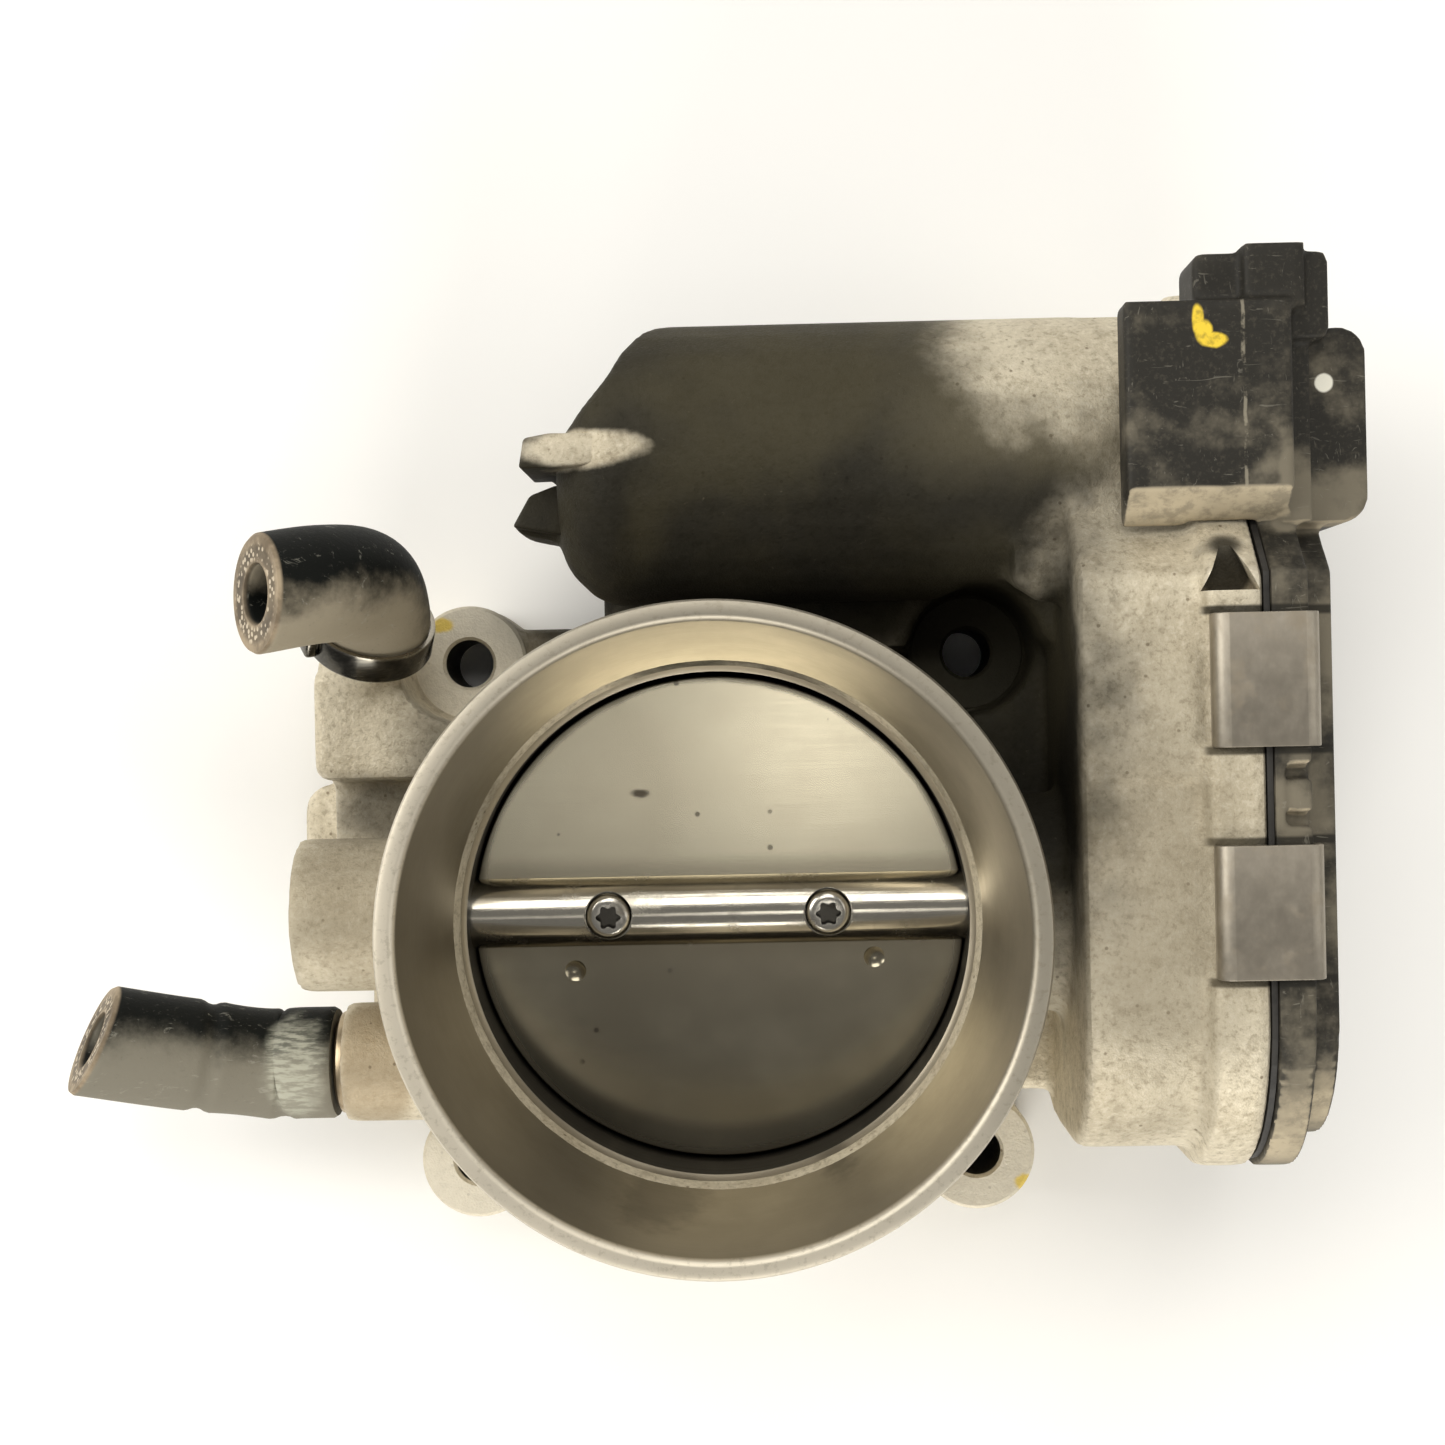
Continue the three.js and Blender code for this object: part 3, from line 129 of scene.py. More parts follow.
class Tree:
    """A material's node tree, with lengths in millimetres of the row frame."""

    def __init__(self, name: str) -> None:
        """Starts an empty material.

        Args:
            name: the material's name.
        """
        self.material = bpy.data.materials.new(name)
        self.material.use_nodes = True
        self.nodes = self.material.node_tree.nodes
        self.links = self.material.node_tree.links
        self.nodes.clear()
        self._position: Shade | None = None

    def node(self, kind: str, settings: dict | None = None, inputs: dict | None = None) -> bpy.types.Node:
        """Adds any node.

        Args:
            kind: the node's type, without its ShaderNode prefix.
            settings: attributes that are set before the sockets.
            inputs: socket name or number to a value or a Shade.

        Returns:
            The new node.
        """
        made = self.nodes.new("ShaderNode" + kind)
        for key, value in (settings or {}).items():
            setattr(made, key, value)
        for key, value in (inputs or {}).items():
            if isinstance(value, Shade):
                self.links.new(value.socket, made.inputs[key])
            elif value is not None:
                made.inputs[key].default_value = value
        return made

    def math(self, operation: str, *values: "Shade | float") -> Shade:
        """Adds a Math node over one to three values and returns its result."""
        made = self.node("Math", {"operation": operation}, dict(enumerate(values)))
        return Shade(self, made.outputs[0])

    def position(self) -> Shade:
        """The point being shaded, in millimetres.

        Returns:
            The point, worked out once for each tree.
        """
        if self._position is None:
            place = Shade(self, self.node("TexCoord").outputs["Object"])
            scaled = self.node("VectorMath", {"operation": "SCALE"}, {0: place, "Scale": 1 / MM})
            self._position = Shade(self, scaled.outputs[0])
        return self._position

    def facing(self, direction: Point) -> Shade:
        """How far the surface faces a direction, from -1 to 1."""
        normal = Shade(self, self.node("TexCoord").outputs["Normal"])
        return self.dot(normal, direction)

    def vector(self, operation: str, *values: "Shade | Point", result: int = 0) -> Shade:
        """Adds a Vector Math node and returns its vector, or with result 1 its number."""
        made = self.node("VectorMath", {"operation": operation}, dict(enumerate(values)))
        return Shade(self, made.outputs[result])

    def dot(self, vector: Shade, direction: Point) -> Shade:
        """How far a vector reaches along a direction."""
        return self.vector("DOT_PRODUCT", vector, Vector(direction).normalized(), result=1)

    def parts(self, vector: Shade) -> list[Shade]:
        """The X, Y and Z parts of a vector."""
        made = self.node("SeparateXYZ", None, {0: vector})
        return [Shade(self, output) for output in made.outputs]

    def noise(self, scale: float, detail: float = 3.0, rough: float = 0.55, twist: float = 0.0,
              stretch: Point = (1, 1, 1)) -> Shade:
        """Cloudy noise.

        Args:
            scale: features per millimetre.
            detail: octaves of finer noise.
            rough: strength of the finer octaves.
            twist: distortion of the pattern.
            stretch: scale along each axis, for drawn-out grain.

        Returns:
            A value round 0.5.
        """
        place = self.position()
        if stretch != (1, 1, 1):
            place = self.vector("MULTIPLY", place, stretch)
        made = self.node("TexNoise", None, {"Vector": place, "Scale": scale, "Detail": detail,
                                            "Roughness": rough, "Distortion": twist})
        return Shade(self, made.outputs[0])

    def cells(self, scale: float) -> Shade:
        """Distance to the nearest of scattered points, in cell widths."""
        made = self.node("TexVoronoi", None, {"Vector": self.position(), "Scale": scale})
        return Shade(self, made.outputs["Distance"])

    def ramp(self, value: Shade, low: float, high: float, start: float = 0.0, end: float = 1.0) -> Shade:
        """Smooth step of a value between two levels; low may be above high.

        Args:
            value: what is measured.
            low: level at which the step starts.
            high: level at which it ends.
            start: result up to the first level.
            end: result past the second level.

        Returns:
            A value between start and end.
        """
        levels = {"Value": value, "From Min": low, "From Max": high, "To Min": start, "To Max": end}
        made = self.node("MapRange", {"interpolation_type": "SMOOTHSTEP"}, levels)
        return Shade(self, made.outputs[0])

    def band(self, value: Shade, middle: float, outer: float, inner: float) -> Shade:
        """Mask of a band round a level: 1 inside its inner half-width, 0 past the outer one."""
        return self.ramp(self.math("ABSOLUTE", value - middle), outer, inner)

    def edge(self) -> Shade:
        """Above 0.5 on outer edges, below it in inner corners."""
        return Shade(self, self.node("NewGeometry").outputs["Pointiness"])

    def away(self, centre: Point, radii: Point) -> Shade:
        """Distance from a point, with each axis measured in its own radius."""
        offset = self.vector("SUBTRACT", self.position(), centre)
        return self.vector("LENGTH", self.vector("DIVIDE", offset, radii), result=1)

    def blob(self, centre: Point, radii: Point, soft: float = 0.35, ragged: float = 0.0,
             grain: float = 0.12) -> Shade:
        """Mask of a soft ellipsoid.

        Args:
            centre: its middle, in millimetres.
            radii: its radius along each axis.
            soft: width of its fading edge, as a share of its radius.
            ragged: how much noise moves the edge.
            grain: scale of that noise.

        Returns:
            1 inside, fading to 0.
        """
        distance = self.away(centre, radii)
        if ragged:
            distance = distance + (self.noise(grain, 4) - 0.5) * ragged
        return self.ramp(distance, 1 + soft, 1 - soft)

    def blobs(self, *shapes: tuple) -> Shade:
        """One mask of several blobs, each given as blob's arguments.

        Args:
            *shapes: blob's arguments, one tuple for each blob.

        Returns:
            1 inside any of them, fading to 0.
        """
        mask = self.blob(*shapes[0])
        for shape in shapes[1:]:
            mask = mask | self.blob(*shape)
        return mask

    def clip_shade_bands(self, places: Sequence[float], half: float) -> Shade:
        """Mask of thin bands across Y at each place, half their width.

        Args:
            places: the bands' middles along Y.
            half: half a band's width.

        Returns:
            1 inside any band, fading to 0.
        """
        y = self.parts(self.position())[1]
        mask = self.band(y, places[0], half * 1.5, half * 0.6)
        for place in places[1:]:
            mask = mask | self.band(y, place, half * 1.5, half * 0.6)
        return mask

    def mix(self, factor: "Shade | float", first: "Shade | Colour", second: "Shade | Colour") -> Shade:
        """Blends two colours by a factor."""
        made = self.node("Mix", {"data_type": "RGBA"}, {0: factor, 6: opaque(first), 7: opaque(second)})
        return Shade(self, made.outputs[2])

    def coated(self, colour: "Shade | Colour", *layers: tuple) -> Shade:
        """Lays masks over a colour in turn, each with its own colour.

        Args:
            colour: the colour underneath.
            *layers: mask and colour of each layer, lowest first.

        Returns:
            The colour on top.
        """
        for mask, tint in layers:
            colour = self.mix(mask, colour, tint)
        return colour

    def bump(self, height: Shade, depth: float, strength: float) -> Shade:
        """The normal bumped by a relief from 0 to 1, whose depth is in millimetres."""
        made = self.node("Bump", None, {"Height": height, "Distance": depth * MM, "Strength": strength})
        return Shade(self, made.outputs[0])

    def surface(self, colour: "Shade | Colour", rough: "Shade | float", metal: "Shade | float" = 0.0,
                normal: Shade | None = None, shine: float = 0.5) -> bpy.types.Material:
        """Closes the tree with one Principled shader.

        Args:
            colour: base colour.
            rough: roughness.
            metal: metallic share.
            normal: bumped normal.
            shine: how strongly what isn't metal mirrors.

        Returns:
            The finished material.
        """
        shader = self.node("BsdfPrincipled", None, {
            "Base Color": opaque(colour), "Roughness": rough, "Metallic": metal, "Normal": normal,
            "Specular IOR Level": shine})
        output = self.node("OutputMaterial")
        self.links.new(shader.outputs[0], output.inputs["Surface"])
        return self.material


# ------------------------------------------------------------------ finishes


@dataclass(frozen=True)
class Finish:
    """A finish that any piece can take; its material is made once."""

    name: str

    def material(self) -> bpy.types.Material:
        """The finish's material, made on first use."""
        label = self.name + "_finish"
        return bpy.data.materials.get(label) or self.build(Tree(label))

    def build(self, tree: Tree) -> bpy.types.Material:
        """Builds the material in a fresh tree."""
        raise NotImplementedError


@dataclass(frozen=True)
class Casting(Finish):
    """Grainy die-cast aluminium, dusty outside and black with oil mist round the motor, with painted shade
    in its corners, recesses, pocket, bolt holes and clip gaps, and painted light on the motor's top.
    """

    metal: Colour = (0.64, 0.58, 0.45)
    dust: Colour = (0.44, 0.38, 0.27)
    # soot also colours the painted shade in the clip gaps, the pocket and the bolt holes
    soot: Colour = (0.006, 0.0055, 0.003)
    haze: Colour = (0.034, 0.029, 0.014)

    def find_soot_and_shade(self, tree: Tree) -> tuple[Shade, Shade]:
        """Where soot lies round the motor and by the upper port, with painted shade in the corners, in the
        recess behind the bore and in the gully by the boss.

        Args:
            tree: the material's tree.

        Returns:
            The mask of all soot and painted shade, and that of the shaded recess behind the bore alone.
        """
        # painted shade in the recess behind the bore, between the barrel, the motor and the gear case
        recess = tree.blob((40, 34, 22), (17, 28, 36), 0.3, 0.4)
        # soot on the motor, with painted shade in the corners beside and beneath it
        motor_soot_and_corner_shade = tree.blobs(
            ((9, 62, 46), (45, 31, 46), 0.2, 0.5, 0.09),
            ((47, 24, 34), (11, 36, 38), 0.4, 0.6),
            ((8, 44, 20), (34, 9, 34), 0.4, 0.5),
            ((-21, 50, 24), (15, 14, 40), 0.4, 0.4))
        neck_foot = tree.blob((-38, 22, 40), (9, 12, 18), 0.5, 0.5) * 0.8
        # painted shade in the gully between the gallery and the boss
        boss_gully_shade = tree.blob((-47.5, 15, 26), (8, 5, 24), 0.5, 0.5, 0.2) * 0.75
        rubbed = tree.blobs(((44, 76, 46), (11, 11, 26), 0.5, 0.9, 0.2),
                            ((-16, 63.3, 50), (8.4, 2.6, 14), 0.2, 0.4, 0.4))
        return (recess | motor_soot_and_corner_shade | neck_foot | boss_gully_shade) * (1 - rubbed * 0.9), recess

    def black(self, tree: Tree) -> Shade:
        """The colour of the soot and painted shade, haze to black, with painted light on the motor's top
        and a paler, browner tone towards +X and +Y.

        Args:
            tree: the material's fresh tree.

        Returns:
            The soot's colour.
        """
        x, y, _ = tree.parts(tree.position())
        thick = tree.ramp(tree.noise(0.045, 4, 0.5, 0.3), 0.30, 0.74)
        # painted light: the black is made paler where the lamps fall on the motor's top; it also turns
        # paler and browner towards +X and +Y
        lit = tree.blob((10, 73, 54), (36, 9, 30), 0.8, 0.5)
        thin = tree.ramp(x, 18, 46) * tree.ramp(y, 54, 66)
        colour = tree.mix(tree.ramp(thick - lit * 0.5 - thin * 0.4, -0.35, 0.75), self.haze, self.soot)
        return tree.mix(thin * 0.35, colour, (0.20, 0.175, 0.12))

    def bolt_holes(self, tree: Tree) -> Shade:
        """Mask of the four bolt holes' walls, which take painted shade.

        Args:
            tree: the material's fresh tree.

        Returns:
            1 on the walls, 0 elsewhere.
        """
        height = tree.parts(tree.position())[2]
        mask: Shade | float = 0.0
        for x in (-BOLT_SQUARE, BOLT_SQUARE):
            for y in (-BOLT_SQUARE, BOLT_SQUARE):
                mask = tree.ramp(tree.away((x, y, 0), (3.75, 3.75, FAR)), 1.0, 0.96) + mask
        return mask * tree.ramp(height, EAR_TOP - 0.3, EAR_TOP - 1)

    def build(self, tree: Tree) -> bpy.types.Material:
        """Grain, pits, dust in the hollows, soot in its places, and painted shade in the corners, recesses,
        pocket, bolt holes, clip gaps and beside the barrel.

        Args:
            tree: the material's fresh tree.

        Returns:
            The finished material.
        """
        x, _, z = tree.parts(tree.position())
        grain = tree.noise(1.1, 3, 0.7)
        fine = tree.noise(3.2, 2, 0.6)
        edge = tree.edge()
        soot_and_shade, recess = self.find_soot_and_shade(tree)
        colour = tree.coated(
            self.metal,
            (tree.ramp(tree.noise(0.07, 5), 0.35, 0.7) * 0.55, self.dust),
            (tree.ramp(grain, 0.50, 0.68) * 0.4, (0.80, 0.74, 0.61)),
            (tree.ramp(grain, 0.48, 0.32) * 0.42, (0.20, 0.165, 0.11)),
            (tree.ramp(tree.noise(0.35, 4, 0.7), 0.50, 0.66) * 0.35, (0.27, 0.225, 0.15)),
            (tree.blob((-50, -21, 26), (6.5, 9.5, 12), 0.2, 0.2) * 0.75, (0.33, 0.26, 0.165)),
            (tree.ramp(edge, 0.49, 0.42) * 0.65, (0.20, 0.16, 0.10)),
            (tree.ramp(edge, 0.52, 0.60) * 0.45, (0.82, 0.77, 0.66)),
            (tree.ramp(tree.cells(0.33), 0.10, 0.05) * 0.7, (0.16, 0.12, 0.075)),
            (soot_and_shade * 0.97, self.black(tree)))
        chip = tree.ramp(tree.noise(0.8, 5, 0.75), 0.64, 0.76)
        # painted shadow in the gaps at the clips' ends, on the case
        clip_shade_bands = tree.clip_shade_bands(CLIP_ENDS, 0.5) * tree.ramp(x, 61.4, 62.6) * tree.ramp(z, 58, 62)
        pocket = tree.blob((65.4, 45.0, 62), (4.2, 4.4, 3.6), 0.12, 0.1)
        # painted shade on the gear case beside the bore, where the rim shades it, mixed with a haze of
        # smoke; a second patch darkens the left of the barrel
        smoke_and_shade = tree.blobs(((57, 5, 62), (10, 30, 14), 0.6, 0.8, 0.1),
                           ((-49, 3, 40), (11, 13, 20), 0.6, 0.5))
        seat = tree.ramp(z, EAR_TOP - 1, EAR_TOP - 0.4) * tree.ramp(z, EAR_TOP + 0.6, EAR_TOP + 0.2)
        seat = seat * tree.ramp(tree.facing((0, 0, 1)), 0.7, 0.95)
        dabs = tree.blobs(((-40.4, 42.2, 16), (1.5, 1.1, 2), 0.3, 0.9, 0.5),
                          ((43.4, -41.2, 16), (1.3, 1.2, 2), 0.3, 0.9, 0.5))
        colour = tree.coated(
            colour,
            (chip * soot_and_shade * 0.3, (0.20, 0.175, 0.125)),
            # painted shadow in the clip gaps and painted shade in the pocket, in the soot colour
            ((clip_shade_bands | pocket) * 0.9, self.soot),
            # painted shade and smoke beside the barrel
            (smoke_and_shade * (1 - soot_and_shade) * 0.62, (0.20, 0.17, 0.115)),
            (seat * (1 - recess) * 0.6, (0.74, 0.70, 0.60)),
            # painted shade: the seat in the recess behind the bore is darkened
            (seat * recess * 0.6, (0.060, 0.055, 0.038)),
            # painted shade: the bolt holes' walls go near-black
            (self.bolt_holes(tree) * 0.95, self.soot),
            (dabs * 0.85, (0.76, 0.56, 0.08)))
        rough = 0.56 + (fine - 0.5) * 0.3 + soot_and_shade * 0.08
        normal = tree.bump(grain * 0.6 + fine * 0.4, 0.3, 0.7)
        return tree.surface(colour, rough, 0.35 - soot_and_shade * 0.33, normal, 0.14)


@dataclass(frozen=True)
class Turned(Finish):
    """Machined bore and neck: fine turning rings, brown film inside, soot and painted shade below the lip,
    and painted shade on the cone and the rim away from the lamps.
    """

    bright: Colour = (0.62, 0.57, 0.47)
    film: Colour = (0.34, 0.30, 0.225)
    # soot is also painted shade on the straight bore below the lip
    soot: Colour = (0.012, 0.010, 0.007)

    def build(self, tree: Tree) -> bpy.types.Material:
        """Rings by height, film on the cone, soot and painted shade on the straight bore, and painted shade
        on the cone and the rim towards their shaded sides.

        Args:
            tree: the material's fresh tree.

        Returns:
            The finished material.
        """
        x, y, z = tree.parts(tree.position())
        rings = tree.noise(0.9, 3, 0.7, 0.0, (0.04, 0.04, 3.2))
        below = tree.ramp(z, LIP_HEIGHT + 0.2, LIP_HEIGHT - 0.5)
        top = tree.ramp(z, RIM_HEIGHT - 1.1, RIM_HEIGHT - 0.5)
        spots = tree.blobs(((-8, -35.6, 52), (5.5, 2.6, 12), 0.5, 1.2, 0.35),
                           ((15, -31, 50), (2.5, 2, 12), 0.6, 1.3, 0.5))
        patches = tree.ramp(tree.noise(0.12, 3, 0.6, 0.0, (1, 1, 0.25)), 0.2, 0.5, 0.86, 1.0)
        rim = tree.coated(
            self.bright,
            (tree.ramp(tree.noise(0.9, 4, 0.7), 0.52, 0.66) * 0.5, (0.40, 0.36, 0.28)),
            # painted shade: the rim darkens towards +X and +Y, the side turned from the lamps
            (tree.ramp(y * 0.8 + x * 0.6, -24, 30) * 0.62, (0.15, 0.135, 0.105)))
        outside = tree.ramp(tree.away((0, 0, 0), (42.2, 42.2, FAR)), 0.985, 1.0) * (1 - top)
        colour = tree.coated(
            self.film,
            (tree.ramp(tree.noise(0.06, 5, 0.6), 0.3, 0.7), (0.46, 0.41, 0.315)),
            (tree.ramp(z, 49, 69.5) * 0.35, (0.50, 0.45, 0.36)),
            (tree.band(z, LIP_HEIGHT + 0.55, 0.75, 0.35) * 0.55, (0.55, 0.50, 0.41)),
            # painted shade: the cone darkens towards -X and -Y, the walls turned from the stronger lamps
            (tree.ramp(x + y, 22, -38) * 0.5, (0.13, 0.115, 0.085)),
            (spots * 0.5, (0.07, 0.06, 0.045)),
            # soot and painted shade on the straight bore below the lip
            (below * patches, self.soot),
            (top, rim),
            (outside, (0.36, 0.32, 0.25)))
        rough = 0.36 + (rings - 0.5) * 0.22 + top * 0.12 + below * 0.14
        return tree.surface(colour, rough, 0.85 - below * 0.45, tree.bump(rings, 0.025, 0.5))


@dataclass(frozen=True)
class Sheet(Finish):
    """Satin plate: brushed along Y, with specks of soot, an edge ring of soot and painted shade, and
    painted shade on its lower half.
    """

    metal: Colour = (0.63, 0.58, 0.44)
    # soot is also painted shade in the plate's edge ring
    soot: Colour = (0.045, 0.038, 0.027)
    radius: float = 33.7

    def build(self, tree: Tree) -> bpy.types.Material:
        """Brush marks, an edge ring of soot and painted shade, the shaft's shade, painted shade on the
        lower half and specks.

        Args:
            tree: the material's fresh tree.

        Returns:
            The finished material.
        """
        y = tree.parts(tree.position())[1]
        brush = tree.noise(0.7, 3, 0.6, 0.0, (0.10, 5.0, 1))
        cloud = tree.noise(0.05, 4)
        distance = tree.away((0, 0, SHAFT_Z), (self.radius, self.radius, FAR))
        # edge ring: soot, and painted shade of the gap between plate and bore
        edge = tree.ramp(distance + (cloud - 0.5) * 0.06, 0.955, 1.0)
        root = tree.band(y, SHAFT_Y, 8.2, 4.9)
        # painted shade: the lower half, below the shaft, is darkened
        film = tree.ramp(y, SHAFT_Y + 1, SHAFT_Y - 3) * tree.ramp(cloud, 0.2, 0.6, 0.48, 0.68)
        speck = tree.ramp(tree.cells(0.16), 0.075, 0.045) * tree.ramp(tree.noise(0.11, 2), 0.47, 0.56)
        fleck = tree.ramp(tree.cells(0.5), 0.07, 0.03) * tree.ramp(tree.noise(0.16, 2), 0.5, 0.6)
        mark = tree.blob((-10.4, 17.6, 38), (1.2, 0.55, 6), 0.4, 0.8, 0.8)
        colour = tree.coated(
            self.metal,
            (tree.ramp(cloud, 0.35, 0.7) * 0.3, (0.44, 0.38, 0.28)),
            (edge * 0.85, self.soot),
            (root * 0.4, (0.20, 0.17, 0.12)),
            # painted shade on the lower half
            (film, (0.15, 0.13, 0.092)),
            ((speck | fleck) * 0.7 | mark * 0.9, (0.07, 0.055, 0.04)))
        rough = 0.20 + (brush - 0.5) * 0.05 + edge * 0.25 + root * 0.05
        return tree.surface(colour, rough, 1.0, tree.bump(brush, 0.004, 0.2))


@dataclass(frozen=True)
class Steel(Finish):
    """Ground or rolled steel, from polished shaft to dark spring strip."""

    metal: Colour = (0.62, 0.585, 0.50)
    grime: Colour = (0.12, 0.10, 0.07)
    rough: float = 0.17
    dirt: float = 0.35
    stretch: Point = (0.25, 3.0, 3.0)
    worn: float = 0.0
    painted_socket_shade: bool = False

    def build(self, tree: Tree) -> bpy.types.Material:
        """Drawn grain, cloudy grime, bright worn edges and, on screws, painted shade in the sockets.

        Args:
            tree: the material's fresh tree.

        Returns:
            The finished material.
        """
        grain = tree.noise(1.2, 3, 0.6, 0.0, self.stretch)
        cloud = tree.noise(0.22, 5, 0.62)
        colour = tree.mix(tree.ramp(cloud, 0.48, 0.72) * self.dirt, self.metal, self.grime)
        if self.worn:
            rub = tree.ramp(tree.edge() + (grain - 0.5) * 0.05, 0.53, 0.62)
            colour = tree.mix(rub * self.worn, colour, (0.62, 0.57, 0.48))
        # painted shade in the screws' sockets, below the heads' tops
        if self.painted_socket_shade:
            y, z = tree.parts(tree.position())[1:]
            tilt = math.radians(REST_TILT)
            lift = (z - SHAFT_Z) * math.cos(tilt) - (y - SHAFT_Y) * math.sin(tilt)
            colour = tree.mix(tree.ramp(lift, 4.85, 4.45) * 0.88, colour, (0.02, 0.017, 0.012))
        rough = self.rough + (grain - 0.5) * 0.14 + tree.ramp(cloud, 0.5, 0.72) * 0.16
        return tree.surface(colour, rough, 1.0, tree.bump(grain, 0.012, 0.4))


@dataclass(frozen=True)
class Plastic(Finish):
    """Moulded plastic under dust, with scratches, worn edges, dabs of paint, and painted shade at the clip
    gaps and on the connector's shroud.
    """

    base: Colour = (0.017, 0.0155, 0.012)
    dust: Colour = (0.215, 0.19, 0.14)
    dusty: float = 0.75
    scratch: float = 0.22

    def paint(self, tree: Tree, colour: Shade) -> tuple[Shade, Shade]:
        """Adds the scraped seam and the inspector's dabs: a yellow stroke and a white dot.

        Args:
            tree: the material's tree.
            colour: the plastic's colour so far.

        Returns:
            The new colour and the mask of the paint.
        """
        x, _, z = tree.parts(tree.position())
        seam = tree.band(x + (tree.noise(0.2, 3) - 0.5) * 0.8, 67.9, 0.32, 0.12)
        broken = tree.ramp(tree.noise(0.3, 4, 0.7), 0.42, 0.56)
        yellow = tree.blobs(((62.2, 76.1, 67), (0.75, 2.0, 4), 0.2, 0.3, 0.6),
                            ((62.9, 74.6, 67), (1.1, 1.5, 4), 0.2, 0.3, 0.6),
                            ((64.1, 73.6, 67), (1.7, 0.95, 4), 0.2, 0.4, 0.7))
        thin = tree.ramp(tree.noise(0.9, 4), 0.3, 0.55, 0.55, 1.0)
        dot = tree.blob((79.4, 68.9, 58.6), (1.15, 1.2, 4), 0.14, 0.2, 0.6)
        colour = tree.coated(
            colour,
            (seam * broken * tree.ramp(z, 66.0, 66.3) * 0.6, (0.32, 0.29, 0.22)),
            (yellow * thin, (0.78, 0.56, 0.045)),
            (dot, (0.80, 0.78, 0.68)))
        return colour, yellow | dot

    def build(self, tree: Tree) -> bpy.types.Material:
        """Speckle, dust that settles on top, scratches, paint, painted shadow in the clip gaps and painted
        shade on the connector's shroud.

        Args:
            tree: the material's fresh tree.

        Returns:
            The finished material.
        """
        x, y, z = tree.parts(tree.position())
        fine = tree.noise(1.6, 3, 0.65)
        cloud = tree.noise(0.09, 5, 0.62)
        up = tree.ramp(tree.facing((0, -0.35, 1)), 0.1, 0.9)
        high = tree.ramp(y, 54, 50) * tree.ramp(z, 28, 60, 0.6, 1.0)
        ledge = tree.ramp(tree.facing((0, -1, 0.55)), 0.72, 0.95) * tree.ramp(z, 50, 58)
        ledge = ledge * tree.ramp(y, 60, 56)
        foot = tree.ramp(y, 62, 55) * tree.ramp(x, 71.5, 73.5) * tree.ramp(y, 49, 51) * tree.ramp(z, 50, 54)
        settled = cloud + up * 0.05 + high * 0.11 + ledge * 0.5 + foot * 0.3
        # past y 76 the dust thins to a tenth, leaving the connector's shroud near-black as painted shade
        layer = tree.ramp(settled, 0.52, 0.80) * self.dusty * tree.ramp(y, 79, 75.8, 0.1, 1.0)
        mottle = tree.ramp(tree.noise(0.35, 5, 0.7), 0.36, 0.56, 0.45, 1.0)
        line = tree.ramp(tree.noise(0.4, 3, 0.6, 1.6, (0.5, 2.6, 1)), 0.64, 0.71)
        nick = tree.ramp(tree.noise(0.45, 3, 0.6, 1.8, (2.2, 0.7, 1)), 0.65, 0.72)
        scratches = line | nick
        colour = tree.coated(
            self.base,
            (tree.ramp(fine, 0.5, 0.72) * 0.3, (0.09, 0.08, 0.06)),
            (layer, self.dust),
            (ledge * mottle * tree.ramp(cloud, 0.3, 0.55, 0.4, 0.95), (0.47, 0.40, 0.28)),
            (tree.ramp(tree.edge(), 0.53, 0.62) * 0.3, (0.22, 0.195, 0.15)),
            # painted shadow in the gaps at the clips' ends
            (tree.clip_shade_bands(CLIP_ENDS, 0.55) * tree.ramp(z, 58, 62) * 0.85, (0.012, 0.011, 0.008)),
            (scratches * self.scratch, (0.35, 0.33, 0.27)))
        colour, painted = self.paint(tree, colour)
        rough = 0.56 + (fine - 0.5) * 0.2 + layer * 0.3 - painted * 0.1
        normal = tree.bump(fine + scratches * -0.5, 0.06, 0.45)
        return tree.surface(colour, rough, 0.0, normal, 0.25)


